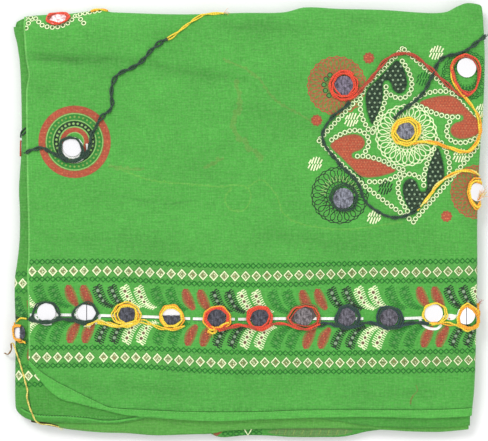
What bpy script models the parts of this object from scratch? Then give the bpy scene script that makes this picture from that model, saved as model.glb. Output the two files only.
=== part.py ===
"""A printed cotton shawl with round mirrors, folded into a flat rectangular pack.

The shawl is one length of cotton voile. It is folded in half across its width, with that
fold along the far edge of the pack, and then in five lengths, to and fro. The top length
shows whole; the edges of the lengths under it show at the left and at the near edge.

Plan sizes are millimetres, ACROSS from the left and DOWN from the far edge of a layout sheet
488 by 441 mm. Heights are millimetres above the table. The model itself is in metres, with
+X to the right, +Y away and +Z up.
"""

import math

import bmesh
import bpy
from mathutils import Matrix, Vector

MM = 0.001

# Middle of the layout, which becomes the model's origin
CENTRE_ACROSS = 248.52
CENTRE_DOWN = 221.07

# Cloth and its folds
PLY_WALL = 1.2
PLY_PITCH = 1.75
HEM_WALL = 1.9
HEM_RISE = 0.45
HEM_DOWN = 412.0
SEAM_GAP = 0.4
PACK_HEIGHT = 21.0
FOLD_RADIUS = 4.5
FOLD_TURN = math.radians(120)
FOLD_STEPS = 5

# Mirrors and the thread rings round them
MIRROR_THICK = 0.8
MIRROR_SIDES = 20
RING_HEIGHT = 2.2
RING_SIDES = 14
RING_SECTION_SIDES = 5
RING_GAP = 0.3
SEAT_GAP = 0.45
SEAT_TRIALS = 24

# Fold lines and edges of the top length. Columns: where along the edge, where the edge is
LEFT_FOLD = (
    (20, 13), (27, 12), (45, 16), (68, 18.7), (105, 20), (149, 20), (187, 17.4), (220, 18.4),
    (250, 17.2), (282, 13.2), (329, 14), (376, 13.7), (409, 14), (420, 17),
)
RIGHT_FOLD = (
    (5, 483), (31, 484.5), (60, 485.5), (109, 484), (156, 480.4), (219, 478), (275, 478),
    (352, 476.5), (391, 475), (417, 472.5), (430, 471),
)
FAR_FOLD = (
    (12, 17), (22, 15.5), (42, 13), (65, 12), (98, 8.5), (112, 10.8), (179, 13.5), (244, 12),
    (284, 11.4), (305, 6.5), (340, 8), (384, 9), (428, 12), (447, 11), (457, 6), (468, 2), (484, 4),
)
FRONT_LEFT_EDGE = (
    (15, 23), (34, 24), (59, 25.5), (75, 28.5), (88, 26), (129, 26), (187, 27), (220, 28),
    (257, 28.3), (271, 27.2), (295, 28), (360, 29), (400, 29),
)

# Near edges, one for each ply that shows there. Columns: across, down
HEM_TOP_LINE = (
    (24, 355), (30.6, 361), (41, 371), (57, 381.5), (71.5, 389), (88, 397.5), (99, 402.8),
    (110, 407.5), (145, 410), (190, 412), (260, 412), (300, 410.5), (360, 410), (432, 410),
    (478, 408),
)
FRONT_NEAR_EDGE = (
    (24, 360), (29.6, 365), (39, 378), (49, 390), (61, 399), (78, 403.5), (99, 409), (126, 415.3),
    (171, 419.5), (215, 421.6), (260, 420), (304, 418.4), (370, 417.4), (433, 418.6), (478, 416),
)
UNDER_NEAR_EDGE = (
    (10, 406), (20, 416), (31, 421), (48, 423), (99, 424), (117, 424), (135, 421), (150, 418.4),
    (180, 416), (300, 416), (326, 420), (342, 422), (357, 425), (370, 426.4), (384, 428),
    (430, 429), (478, 426),
)
THIRD_NEAR_EDGE = (
    (30, 423), (58, 428.7), (72, 431), (99, 433.6), (126, 434.5), (155, 436.7), (194, 435.6),
    (209, 435.2), (228, 432), (262, 430.2), (352, 429.6), (388, 431.3), (412, 432.7),
    (440, 433.2), (458, 431.8), (465, 430.6),
)
FOURTH_NEAR_EDGE = (
    (206, 433), (216.5, 438), (224, 439), (247, 436.9), (273, 437.5), (292, 438.8), (326, 438.8),
    (342, 438.5), (353, 436.7), (368, 433), (388, 430.5),
)
INNER_NEAR_EDGE = (
    (14, 405), (30, 413), (58, 423), (99, 428.5), (155, 431.5), (209, 431.5), (262, 431),
    (352, 430), (400, 428.5), (440, 429), (471, 424),
)

# How far the pack falls towards each edge: depth of the fall and how wide it is
LEFT_FALL = (8.0, 24.0)
RIGHT_FALL = (4.0, 26.0)
NEAR_FALL = (9.0, 95.0)
NEAR_FALL_START = 345.0
FAR_FALL_WIDTH = 22.0
FAR_FALL_DEPTH = ((0, 8), (18, 9), (44, 15), (88, 14), (150, 6.5), (260, 6), (488, 7))

# Largest creases of the top length. Columns: across and down at each end, half width, depth
CREASES = (
    (20, 56, 112, 62, 5.5, 1.7),
    (96, 60, 172, 66, 6.0, 0.9),
    (150, 72, 250, 78, 8.0, 0.9),
    (22, 84, 60, 90, 6.0, 0.5),
    (180, 24, 330, 30, 7.0, 0.8),
    (28, 236, 180, 246, 9.0, 0.5),
    (230, 236, 470, 250, 10.0, 0.6),
    (60, 384, 210, 398, 8.0, 0.6),
    (236, 300, 250, 408, 9.0, 0.5),
    (350, 330, 372, 408, 9.0, 0.5),
)

# Soft swells of the pack under the top length. Columns: across, down, half length, half width, rise
SWELLS = (
    (110, 150, 90, 60, 0.8),
    (300, 110, 110, 60, 0.6),
    (410, 230, 70, 70, 0.7),
    (170, 330, 120, 45, 0.5),
    (60, 30, 50, 14, 0.5),
)

# Lines of the cloth's mesh between the folds, across and down, closer where it creases
LINES_ACROSS = (28, 36, 47, 60, 74, 92, 112, 135, 160, 186, 212, 238, 264, 290, 316, 342, 368,
                394, 418, 440, 458, 474)
LINES_DOWN = (410, 401, 390, 375, 360, 345, 320, 292, 264, 236, 208, 180, 150, 122, 100, 86, 77,
              70, 64, 59, 53, 46, 36, 26, 16)
LEFT_FIXED = 60
RIGHT_FIXED = 440
NEAR_FIXED = 345
FAR_FIXED = 46

# The strips of under plies reach this far beneath the top length
UNDER_REACH_ACROSS = 60
UNDER_REACH_DOWN = 390
UNDER_TUCK = 0.8

# Layers at the edges of the folded pile. Its upper rings follow the fold over them, or the hems
# at the near edge. The lower ones are given by their reach, where the outline is at the fold's
# radius, and by their share of the height that is left
PILE_INSET = 1.5
PILE_LIP_GAP = 0.7
PILE_CORNER_DROP = 0.8
PILE_CORNER_DOWN = 56
PILE_FOLD_RADIUS = 1.5
PILE_FOLD_TURNS = (math.radians(55), math.radians(85), math.radians(112))
PILE_HEMS = ((2.8, 0.2), (3.0, 0.9), (0.8, 1.1), (1.0, 1.5))
PILE_SHARES = (0.95, 0.82, 0.7, 0.66, 0.62, 0.5, 0.38, 0.34, 0.29, 0.15, 0.0)
PILE_REACH = {
    "left": (2.4, 4.2, 2.6, 0.6, 3.0, 4.4, 2.9, 0.8, 3.2, 4.5, 3.4),
    "right": (2.6, 4.4, 3.0, 0.8, 2.8, 3.9, 2.5, 0.6, 2.2, 3.0, 2.4),
    "far": (2.4, 3.8, 2.6, 1.0, 2.9, 4.4, 3.0, 0.9, 2.6, 4.1, 3.2),
    "near": (3.6, 3.9, 3.5, 0.9, 2.2, 2.6, 2.1, 0.8, 4.0, 4.4, 3.9),
}

# Mirrors. Columns: name, across, down, glass radius, outer radius of its thread ring
FRONT_MIRRORS = (
    ("border_01", 47, 312, 9.3, 13.0),
    ("border_02", 87, 312.5, 9.3, 12.8),
    ("border_03", 126, 313.5, 9.3, 12.8),
    ("border_04", 171.5, 315.5, 9.3, 12.8),
    ("border_05", 216.5, 317, 9.3, 12.8),
    ("border_06", 260, 317.5, 9.3, 13.0),
    ("border_07", 303, 316.5, 9.3, 12.8),
    ("border_08", 346, 316.5, 9.3, 12.8),
    ("border_09", 388.5, 317, 9.3, 12.8),
    ("border_10", 433, 313, 9.3, 13.0),
    ("circle", 73, 147, 9.8, 13.4),
    ("square_centre", 405, 130, 9.6, 14.0),
    ("square_far", 343.6, 86.4, 10.2, 14.4),
    ("square_right", 466, 68, 9.8, 13.6),
    ("square_near", 343, 198.4, 10.4, 14.4),
)
FOLD_MIRROR_RADIUS = 9.3
FOLD_RING_RADIUS = 12.6
BORDER_11_SEAT = (465.5, 315)
FAR_FOLD_MIRROR = (57, 18.5)
RIGHT_FOLD_MIRROR_DOWN = 192
RIGHT_FOLD_MIRROR_TURN = math.radians(32)
UNDER_MIRROR = (19.6, 333)
UNDER_MIRROR_LEAN = math.radians(8)
UNDER_MIRROR_LIFT = 1.2
UNDER_MIRROR_SMALLER = 1.0
UNDER_RING_OPEN = math.radians(75)

COLLECTION_NAME = "phulkari_shawl"


def follow(table, at):
    """Smooth curve through a table's rows: its second column at a value of its first."""
    if at <= table[0][0]:
        return table[0][1]
    if at >= table[-1][0]:
        return table[-1][1]
    k = next(i for i in range(len(table) - 1) if table[i + 1][0] >= at)

    def slope(i):
        low = max(i - 1, 0)
        high = min(i + 1, len(table) - 1)
        return (table[high][1] - table[low][1]) / (table[high][0] - table[low][0])

    (x0, y0), (x1, y1) = table[k], table[k + 1]
    span = x1 - x0
    q = (at - x0) / span
    return (y0 * (1 + 2 * q) * (1 - q) ** 2 + y1 * q * q * (3 - 2 * q)
            + span * slope(k) * q * (1 - q) ** 2 + span * slope(k + 1) * q * q * (q - 1))


def fall(distance, depth, width):
    """Drop of the pack's top near an edge, steeper the nearer the edge."""
    if distance >= width:
        return 0.0
    return depth * (1 - distance / width) ** 2


def crease_depth(across, down):
    """Depth of the creases at a place, as soft troughs that fade at both ends."""
    total = 0.0
    for x0, y0, x1, y1, half_width, depth in CREASES:
        length = math.hypot(x1 - x0, y1 - y0)
        along = ((across - x0) * (x1 - x0) + (down - y0) * (y1 - y0)) / length
        aside = ((across - x0) * (y1 - y0) - (down - y0) * (x1 - x0)) / length
        fade = max(0.0, 1 - ((2 * along / length - 1) ** 2) ** 2) if 0 < along < length else 0.0
        total += depth * fade * math.exp(-(aside / half_width) ** 2)
    return total


def swell(across, down):
    """Height of the soft swells at a place."""
    total = 0.0
    for x0, y0, half_length, half_width, rise in SWELLS:
        total += rise * math.exp(-((across - x0) / half_length) ** 2 - ((down - y0) / half_width) ** 2)
    return total


def top_height(across, down):
    """Height of the top length's upper face above the table."""
    left = fall(across - follow(LEFT_FOLD, down), *LEFT_FALL)
    right = fall(follow(RIGHT_FOLD, down) - across, *RIGHT_FALL)
    far = fall(down - follow(FAR_FOLD, across), follow(FAR_FALL_DEPTH, across), FAR_FALL_WIDTH)
    near = NEAR_FALL[0] * max(0.0, (down - NEAR_FALL_START) / NEAR_FALL[1]) ** 2
    edges = math.sqrt(max(left, right) ** 2 + max(far, near) ** 2)
    return PACK_HEIGHT - edges - crease_depth(across, down) + swell(across, down)


def to_model(across, down, height):
    """Layout millimetres to the model's metres."""
    return Vector(((across - CENTRE_ACROSS) * MM, (CENTRE_DOWN - down) * MM, height * MM))


def squeeze(line, fixed, nominal_end, real_end):
    """Move a mesh line beyond the fixed one in proportion, so that the last meets an edge."""
    share = (line - fixed) / (nominal_end - fixed)
    if share <= 0:
        return line
    return fixed + share * (real_end - fixed)


def place_across(line, down, left_edge, right_edge):
    """Where a mesh line runs at a given place down the pack."""
    if line < LEFT_FIXED:
        return squeeze(line, LEFT_FIXED, LINES_ACROSS[0], left_edge(down))
    return squeeze(line, RIGHT_FIXED, LINES_ACROSS[-1], right_edge(down))


def place_down(line, across, near_edge, far_edge):
    """Where a mesh line runs at a given place across the pack."""
    if line < FAR_FIXED:
        return squeeze(line, FAR_FIXED, LINES_DOWN[-1], far_edge(across))
    return squeeze(line, NEAR_FIXED, LINES_DOWN[0], near_edge(across))


def plan_point(line, line_down, left_edge, right_edge, near_edge, far_edge):
    """Where two mesh lines cross, each drawn to the edges it ends at."""
    down = place_down(line_down, line, near_edge, far_edge)
    across = place_across(line, down, left_edge, right_edge)
    return across, place_down(line_down, across, near_edge, far_edge)


def lean(side, at=0.0):
    """Angle of the cloth where it starts to turn round a fold."""
    falls = {
        "left": LEFT_FALL,
        "right": RIGHT_FALL,
        "far": (follow(FAR_FALL_DEPTH, at), FAR_FALL_WIDTH),
        "near": (0.0, FAR_FALL_WIDTH),
    }
    depth, width = falls[side]
    return math.atan(2 * depth / width * (1 - FOLD_RADIUS / 2 / width))


def fold_inset(side, at=0.0):
    """Distance from where the cloth starts to turn to the fold's outermost line."""
    return FOLD_RADIUS * (1 - math.sin(lean(side, at)))


def right_fold_start(down):
    return follow(RIGHT_FOLD, down) - fold_inset("right")


def left_fold_start(down):
    return follow(LEFT_FOLD, down) + fold_inset("left")


def far_fold_start(across):
    return follow(FAR_FOLD, across) + fold_inset("far", across)


def rolled(across, down, height, side, side_share, far_share=0.0):
    """A point carried round the fold at one side, the far fold, or the corner between them."""
    share = max(side_share, far_share)
    if share == 0:
        return to_model(across, down, height)
    if side_share >= far_share:
        heading = math.pi / 4 * far_share / side_share
    else:
        heading = math.pi / 2 - math.pi / 4 * side_share / far_share
    corner = heading / (math.pi / 2)
    first = lean(side) * (1 - corner) + lean("far", across) * corner
    turn = first + share * (FOLD_TURN - first)
    out = FOLD_RADIUS * (math.sin(turn) - math.sin(first))
    toward = 1 if side == "right" else -1
    return to_model(
        across + toward * out * math.cos(heading),
        down - out * math.sin(heading),
        height - FOLD_RADIUS * (math.cos(first) - math.cos(turn)),
    )


def shares():
    """Places of the mesh lines round a fold, from where it starts to where it ends."""
    return [(k + 1) / FOLD_STEPS for k in range(FOLD_STEPS)]


def collection():
    """The collection that holds the shawl's pieces."""
    found = bpy.data.collections.get(COLLECTION_NAME)
    if found is None:
        found = bpy.data.collections.new(COLLECTION_NAME)
        bpy.context.scene.collection.children.link(found)
    return found


def material(name, colour, roughness, metallic=0.0):
    """A plain finish with the part's own colour."""
    made = bpy.data.materials.get(name) or bpy.data.materials.new(name)
    made.use_nodes = True
    shader = made.node_tree.nodes["Principled BSDF"]
    shader.inputs["Base Color"].default_value = (*colour, 1.0)
    shader.inputs["Roughness"].default_value = roughness
    shader.inputs["Metallic"].default_value = metallic
    return made


def add_object(name, mesh, finish):
    """Put a finished mesh in the shawl's collection as a named piece."""
    mesh.materials.clear()
    mesh.materials.append(finish)
    piece = bpy.data.objects.new(name, mesh)
    collection().objects.link(piece)
    return piece


def add_sheet(name, rows, wall, finish, kept=None):
    """A cloth wall under a grid of points, given row by row from the near edge."""
    wide = len(rows[0])
    faces = []
    for j in range(len(rows) - 1):
        for i in range(wide - 1):
            if kept is None or kept(i, j):
                first = j * wide + i
                faces.append((first, first + 1, first + wide + 1, first + wide))
    used = sorted({index for face in faces for index in face})
    number = {index: place for place, index in enumerate(used)}
    points = [point for row in rows for point in row]
    mesh = bpy.data.meshes.new(name)
    mesh.from_pydata([points[k] for k in used], [], [[number[k] for k in face] for face in faces])
    mesh.shade_smooth()
    piece = add_object(name, mesh, finish)
    solid = piece.modifiers.new("wall", "SOLIDIFY")
    solid.thickness = wall * MM
    solid.offset = -1
    solid.use_even_offset = False
    return piece


def front_columns():
    """Mesh lines of the top length: its flat lines, then those round the right fold."""
    return [(line, 0.0) for line in LINES_ACROSS] + [(LINES_ACROSS[-1], share) for share in shares()]


def front_point(line, side_share, line_down, far_share):
    """A point of the top length's upper face."""
    across, down = plan_point(
        line, line_down, lambda v: follow(FRONT_LEFT_EDGE, v), right_fold_start,
        lambda u: follow(HEM_TOP_LINE, u) - SEAM_GAP, far_fold_start,
    )
    return rolled(across, down, top_height(across, down), "right", side_share, far_share)


def make_front_ply(cloth):
    """The top length, round the far fold and the right fold, down to its turned hem."""
    lines = [(line, 0.0) for line in LINES_DOWN] + [(LINES_DOWN[-1], share) for share in shares()]
    rows = [
        [front_point(line, side_share, down, far_share) for line, side_share in front_columns()]
        for down, far_share in lines
    ]
    add_sheet("front_ply", rows, PLY_WALL, cloth)


def make_front_hem(hem_cloth):
    """The turned hem along the near edge of the top length, thicker than one ply."""
    rows = []
    for width_share in (1.0, 0.35, 0.0):
        row = []
        for line, side_share in front_columns():
            across = place_across(line, HEM_DOWN, lambda v: follow(FRONT_LEFT_EDGE, v), right_fold_start)
            upper = follow(HEM_TOP_LINE, across)
            down = upper + width_share * (follow(FRONT_NEAR_EDGE, across) - upper)
            height = top_height(across, down) + HEM_RISE * (0.4 + 0.6 * width_share)
            row.append(rolled(across, down, height, "right", side_share))
        rows.append(row)
    add_sheet("front_hem", rows, HEM_WALL, hem_cloth)


def make_under_ply(cloth):
    """The length under the top one: its left fold and the strips that show left and near."""
    columns = [(LINES_ACROSS[0], share) for share in reversed(shares())]
    columns += [(line, 0.0) for line in LINES_ACROSS[:-1]]
    lines = [line for line in LINES_DOWN if line >= 26]
    rows = []
    for line_down in lines:
        row = []
        for line, side_share in columns:
            across, down = plan_point(
                line, line_down, left_fold_start, right_fold_start,
                lambda u: follow(UNDER_NEAR_EDGE, u), far_fold_start,
            )
            tuck = UNDER_TUCK * max(0.0, (FAR_FIXED - line_down) / (FAR_FIXED - lines[-1]))
            height = top_height(across, down) - PLY_PITCH - tuck
            row.append(rolled(across, down, height, "left", side_share))
        rows.append(row)
    last_left = FOLD_STEPS + LINES_ACROSS.index(UNDER_REACH_ACROSS)
    last_near = lines.index(UNDER_REACH_DOWN)
    add_sheet("under_ply", rows, PLY_WALL, cloth, lambda i, j: i < last_left or j < last_near)


def make_near_strip(name, edge, layer, start_down, cloth):
    """A lower ply that shows only past the near edge of the plies above it."""
    first, last = edge[0][0], edge[-1][0]
    columns = [first] + [line for line in LINES_ACROSS if first + 3 < line < last - 3] + [last]
    rows = []
    for share in (1.0, 0.6, 0.25, 0.0):
        row = []
        for across in columns:
            down = start_down + share * (follow(edge, across) - start_down)
            row.append(to_model(across, down, top_height(across, down) - layer * PLY_PITCH))
        rows.append(row)
    add_sheet(name, rows, PLY_WALL, cloth)


def pile_layers(across, down):
    """How many plies lie over the pile at a place: more where the lower plies show."""
    layers = 1.3
    if across < UNDER_REACH_ACROSS + 12:
        layers = 2.3 + PILE_CORNER_DROP * min(1.0, max(0.0, (PILE_CORNER_DOWN - down) / 20))
    if down > UNDER_REACH_DOWN - 12:
        layers = 4.3
    return layers


def pile_rings(across, down, toward, sides):
    """The pile's rings at one place of its edge, from its top face down to the table."""
    inner_top = top_height(across, down)
    layers = PLY_PITCH * pile_layers(across, down)
    to_fold = 0.0 if sides == {"near": 1.0} else PILE_INSET
    top = top_height(across + to_fold * toward[0], down - to_fold * toward[1])
    mixed = {"reach": [0.0] * 4, "drop": [0.0] * 4, "out": [0.0] * len(PILE_SHARES), "groove": 0.0}
    for side, weight in sides.items():
        if side == "near":
            upper = [(reach, layers + drop) for reach, drop in PILE_HEMS]
            groove = layers + PILE_HEMS[-1][1] + SEAM_GAP
            outline = FOLD_RADIUS
        else:
            under = PLY_PITCH if side == "left" else 0.0
            first = lean(side, across)
            middle = (PILE_INSET - FOLD_RADIUS * math.sin(first), FOLD_RADIUS * math.cos(first) + under)
            upper = [
                (middle[0] + PILE_FOLD_RADIUS * math.sin(turn),
                 middle[1] - PILE_FOLD_RADIUS * math.cos(turn))
                for turn in PILE_FOLD_TURNS
            ]
            lip = middle[1] - FOLD_RADIUS * math.cos(FOLD_TURN)
            upper.append((0.0, lip - PILE_LIP_GAP / 3))
            groove = lip + PILE_LIP_GAP
            outline = fold_inset(side, across) + PILE_INSET
        for k, (reach, drop) in enumerate(upper):
            mixed["reach"][k] += weight * reach
            mixed["drop"][k] += weight * drop
        for k, reach in enumerate(PILE_REACH[side]):
            mixed["out"][k] += weight * (reach - FOLD_RADIUS + outline)
        mixed["groove"] += weight * groove
    rings = [(0.0, inner_top - layers)]
    rings += [(reach, top - drop) for reach, drop in zip(mixed["reach"], mixed["drop"])]
    rings += [(out, share * (top - mixed["groove"])) for out, share in zip(mixed["out"], PILE_SHARES)]
    return [
        to_model(across + reach * toward[0], down - reach * toward[1], height) for reach, height in rings
    ]


def make_folded_pile(cloth):
    """The hidden lengths as one rounded pile, grooved between its layers at every edge."""
    columns = LINES_ACROSS
    lines = LINES_DOWN
    plan = []
    for line_down in lines:
        row = []
        for line in columns:
            row.append(plan_point(
                line, line_down, lambda v: left_fold_start(v) + PILE_INSET,
                lambda v: right_fold_start(v) - PILE_INSET,
                lambda u: follow(INNER_NEAR_EDGE, u) - FOLD_RADIUS,
                lambda u: far_fold_start(u) + PILE_INSET,
            ))
        plan.append(row)
    last_i = len(columns) - 1
    last_j = len(lines) - 1
    loop = [(i, 0) for i in range(last_i)] + [(last_i, j) for j in range(last_j)]
    loop += [(i, last_j) for i in range(last_i, 0, -1)] + [(0, j) for j in range(last_j, 0, -1)]
    diagonal = math.sqrt(0.5)
    heading = {"near": (0, -1), "right": (1, 0), "far": (0, 1), "left": (-1, 0)}

    def edge_of(i, j):
        sides = []
        if j == 0:
            sides.append("near")
        if j == last_j:
            sides.append("far")
        if i == 0:
            sides.append("left")
        if i == last_i:
            sides.append("right")
        toward = Vector((0.0, 0.0))
        for side in sides:
            toward += Vector(heading[side])
        if len(sides) == 2:
            toward *= diagonal
        return tuple(toward), {side: 1 / len(sides) for side in sides}

    points = []
    for row in plan:
        for across, down in row:
            layers = pile_layers(across, down)
            points.append(to_model(across, down, top_height(across, down) - PLY_PITCH * layers))
    wide = len(columns)
    faces = []
    for j in range(last_j):
        for i in range(last_i):
            first = j * wide + i
            faces.append((first, first + 1, first + wide + 1, first + wide))
    rings = [[j * wide + i for i, j in loop]]
    stations = [pile_rings(*plan[j][i], *edge_of(i, j)) for i, j in loop]
    for k in range(1, len(stations[0])):
        rings.append([len(points) + n for n in range(len(loop))])
        points += [station[k] for station in stations]
    for upper, lower in zip(rings, rings[1:]):
        for n in range(len(loop)):
            m = (n + 1) % len(loop)
            faces.append((upper[n], lower[n], lower[m], upper[m]))
    faces.append(tuple(reversed(rings[-1])))
    mesh = bpy.data.meshes.new("folded_layers")
    mesh.from_pydata(points, [], faces)
    add_object("folded_layers", mesh, cloth)


def surface_frame(across, down, layer):
    """Seat on a ply's upper face: the point there and the axes along and out of the cloth."""
    step = 2.0
    here = top_height(across, down) - layer * PLY_PITCH
    slope_x = (top_height(across + step, down) - top_height(across - step, down)) / (2 * step)
    slope_y = (top_height(across, down - step) - top_height(across, down + step)) / (2 * step)
    return to_model(across, down, here), Vector((-slope_x, -slope_y, 1)).normalized()


def bulge(seat, normal, radius, layer):
    """How far the cloth inside a circle rises over the seat's plane."""
    most = 0.0
    for k in range(SEAT_TRIALS):
        for share in (0.5, 0.8, 1.0):
            angle = math.tau * k / SEAT_TRIALS
            x = seat.x + radius * share * MM * math.cos(angle)
            y = seat.y + radius * share * MM * math.sin(angle)
            across = x / MM + CENTRE_ACROSS
            down = CENTRE_DOWN - y / MM
            point = to_model(across, down, top_height(across, down) - layer * PLY_PITCH)
            most = max(most, (point - seat).dot(normal))
    return most


def basis(seat, normal):
    """Matrix that stands a piece on its seat with its own z along the normal."""
    turn = Vector((0, 0, 1)).rotation_difference(normal).to_matrix().to_4x4()
    return Matrix.Translation(seat) @ turn


def add_mirror(name, seat, normal, glass_radius, ring_radius, clearance, opening, glass, thread):
    """A round glass on the cloth and the thread ring that holds its rim."""
    lift = normal * (clearance * MM)
    bpy.ops.mesh.primitive_cylinder_add(
        vertices=MIRROR_SIDES, radius=glass_radius * MM, depth=MIRROR_THICK * MM
    )
    disc = bpy.context.object.data
    disc.transform(basis(seat + lift + normal * (MIRROR_THICK / 2 * MM), normal))
    bpy.data.objects.remove(bpy.context.object)
    add_object("mirror_" + name, disc, glass)
    half = (ring_radius - glass_radius - RING_GAP) / 2
    middle = ring_radius - half
    if opening:
        ring = open_ring(middle, half, opening)
    else:
        bpy.ops.mesh.primitive_torus_add(
            major_segments=RING_SIDES, minor_segments=RING_SECTION_SIDES,
            major_radius=middle * MM, minor_radius=half * MM,
        )
        ring = bpy.context.object.data
        bpy.data.objects.remove(bpy.context.object)
    flatten = Matrix.Scale(RING_HEIGHT / 2 / half, 4, Vector((0, 0, 1)))
    ring.transform(flatten)
    ring.transform(basis(seat + lift + normal * (RING_HEIGHT / 2 * MM), normal))
    ring.shade_smooth()
    add_object("thread_ring_" + name, ring, thread)


def open_ring(middle, half, opening):
    """A ring that stops where the ply above covers it, as a bent tube with closed ends."""
    curve = bpy.data.curves.new("open_ring", "CURVE")
    curve.dimensions = "3D"
    curve.bevel_depth = half * MM
    curve.bevel_resolution = 0
    curve.use_fill_caps = True
    spline = curve.splines.new("POLY")
    spline.points.add(RING_SIDES - 1)
    for k in range(RING_SIDES):
        angle = opening + (math.tau - 2 * opening) * k / (RING_SIDES - 1)
        spline.points[k].co = (middle * MM * math.cos(angle), middle * MM * math.sin(angle), 0, 1)
    holder = bpy.data.objects.new("open_ring", curve)
    collection().objects.link(holder)
    graph = bpy.context.evaluated_depsgraph_get()
    mesh = bpy.data.meshes.new_from_object(holder.evaluated_get(graph))
    bpy.data.objects.remove(holder)
    weld_caps(mesh)
    return mesh


def weld_caps(mesh):
    """Join a tube's loose end caps to its wall."""
    work = bmesh.new()
    work.from_mesh(mesh)
    bmesh.ops.remove_doubles(work, verts=work.verts, dist=0.00001)
    bmesh.ops.recalc_face_normals(work, faces=work.faces)
    work.to_mesh(mesh)
    work.free()


def make_mirrors(glass, thread):
    """All nineteen mirrors: on the top length, on its folds and on the ply under it."""
    for name, across, down, glass_radius, ring_radius in FRONT_MIRRORS:
        seat, normal = surface_frame(across, down, 0)
        clearance = SEAT_GAP + bulge(seat, normal, ring_radius, 0)
        add_mirror(name, seat, normal, glass_radius, ring_radius, clearance, 0, glass, thread)

    seat, normal = surface_frame(*BORDER_11_SEAT, 0)
    clearance = SEAT_GAP + bulge(seat, normal, FOLD_MIRROR_RADIUS, 0)
    add_mirror("border_11", seat, normal, FOLD_MIRROR_RADIUS, FOLD_RING_RADIUS, clearance, 0, glass, thread)

    seat, normal = surface_frame(*FAR_FOLD_MIRROR, 0)
    clearance = SEAT_GAP + bulge(seat, normal, FOLD_MIRROR_RADIUS, 0)
    add_mirror("far_fold", seat, normal, FOLD_MIRROR_RADIUS, FOLD_RING_RADIUS, clearance, 0, glass, thread)

    start_across = right_fold_start(RIGHT_FOLD_MIRROR_DOWN)
    height = top_height(start_across, RIGHT_FOLD_MIRROR_DOWN)
    share = (RIGHT_FOLD_MIRROR_TURN - lean("right")) / (FOLD_TURN - lean("right"))
    seat = rolled(start_across, RIGHT_FOLD_MIRROR_DOWN, height, "right", share)
    normal = Vector((math.sin(RIGHT_FOLD_MIRROR_TURN), 0, math.cos(RIGHT_FOLD_MIRROR_TURN)))
    add_mirror("right_fold", seat, normal, FOLD_MIRROR_RADIUS, FOLD_RING_RADIUS, SEAT_GAP, 0, glass, thread)

    seat, normal = surface_frame(*UNDER_MIRROR, 1)
    normal = Matrix.Rotation(-UNDER_MIRROR_LEAN, 3, "Y") @ normal
    add_mirror(
        "under", seat, normal, FOLD_MIRROR_RADIUS - UNDER_MIRROR_SMALLER,
        FOLD_RING_RADIUS - UNDER_MIRROR_SMALLER, UNDER_MIRROR_LIFT, UNDER_RING_OPEN, glass, thread,
    )


def build():
    for old in list(bpy.data.objects):
        bpy.data.objects.remove(old)
    cloth = material("cotton_voile", (0.085, 0.42, 0.075), 0.85)
    under_cloth = material("cotton_voile_lower", (0.07, 0.36, 0.065), 0.88)
    hem_cloth = material("turned_hem", (0.11, 0.5, 0.09), 0.85)
    glass = material("mirror_glass", (0.8, 0.8, 0.84), 0.08, 1.0)
    thread = material("embroidery_thread", (0.78, 0.3, 0.06), 0.7)
    make_folded_pile(under_cloth)
    make_near_strip("fourth_ply", FOURTH_NEAR_EDGE, 3, 396, under_cloth)
    make_near_strip("third_ply", THIRD_NEAR_EDGE, 2, 393, under_cloth)
    make_under_ply(under_cloth)
    make_front_ply(cloth)
    make_front_hem(hem_cloth)
    make_mirrors(glass, thread)


build()
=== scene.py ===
"""Looks of a folded cotton shawl with a printed border, round mirrors and couched thread.

Plan sizes are millimetres, ACROSS from the left and DOWN from the far edge of a layout sheet
488 by 441 mm. Heights are millimetres above the table. The finished pieces are in metres.
"""

import math
import random

import bmesh
import bpy
from mathutils import Matrix, Vector, noise
from mathutils.geometry import delaunay_2d_cdt


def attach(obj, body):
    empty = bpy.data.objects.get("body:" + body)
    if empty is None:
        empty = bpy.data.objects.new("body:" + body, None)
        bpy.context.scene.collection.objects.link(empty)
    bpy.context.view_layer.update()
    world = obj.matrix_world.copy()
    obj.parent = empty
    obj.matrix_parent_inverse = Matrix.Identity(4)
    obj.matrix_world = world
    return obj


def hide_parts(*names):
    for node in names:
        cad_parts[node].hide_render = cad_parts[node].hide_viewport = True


MM = 0.001
BODY = "root"

# Middle of the layout, which is the model's origin
CENTRE_ACROSS = 248.52
CENTRE_DOWN = 221.07

# Cloth and its folds, as the frame has them
PLY_PITCH = 1.75
HEM_RISE = 0.45
SEAM_GAP = 0.4
PACK_HEIGHT = 21.0
FOLD_RADIUS = 4.5
FOLD_TURN = math.radians(120)
CLOTH_WALL = 0.5
HEM_WALL = 1.1

# Fold lines and edges of the top length. Columns: where along the edge, where the edge is
LEFT_FOLD = (
    (20, 13), (27, 12), (45, 16), (68, 18.7), (105, 20), (149, 20), (187, 17.4), (220, 18.4),
    (250, 17.2), (282, 13.2), (329, 14), (376, 13.7), (409, 14), (420, 17),
)
RIGHT_FOLD = (
    (5, 483), (31, 484.5), (60, 485.5), (109, 484), (156, 480.4), (219, 478), (275, 478),
    (352, 476.5), (391, 475), (417, 472.5), (430, 471),
)
FAR_FOLD = (
    (12, 17), (22, 15.5), (42, 13), (65, 12), (98, 8.5), (112, 10.8), (179, 13.5), (244, 12),
    (284, 11.4), (305, 6.5), (340, 8), (384, 9), (428, 12), (447, 11), (457, 6), (468, 2), (484, 4),
)
FRONT_LEFT_EDGE = (
    (15, 23), (34, 24), (59, 25.5), (75, 28.5), (88, 26), (129, 26), (187, 27), (220, 28),
    (257, 28.3), (271, 27.2), (295, 28), (360, 29), (400, 29),
)

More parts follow.
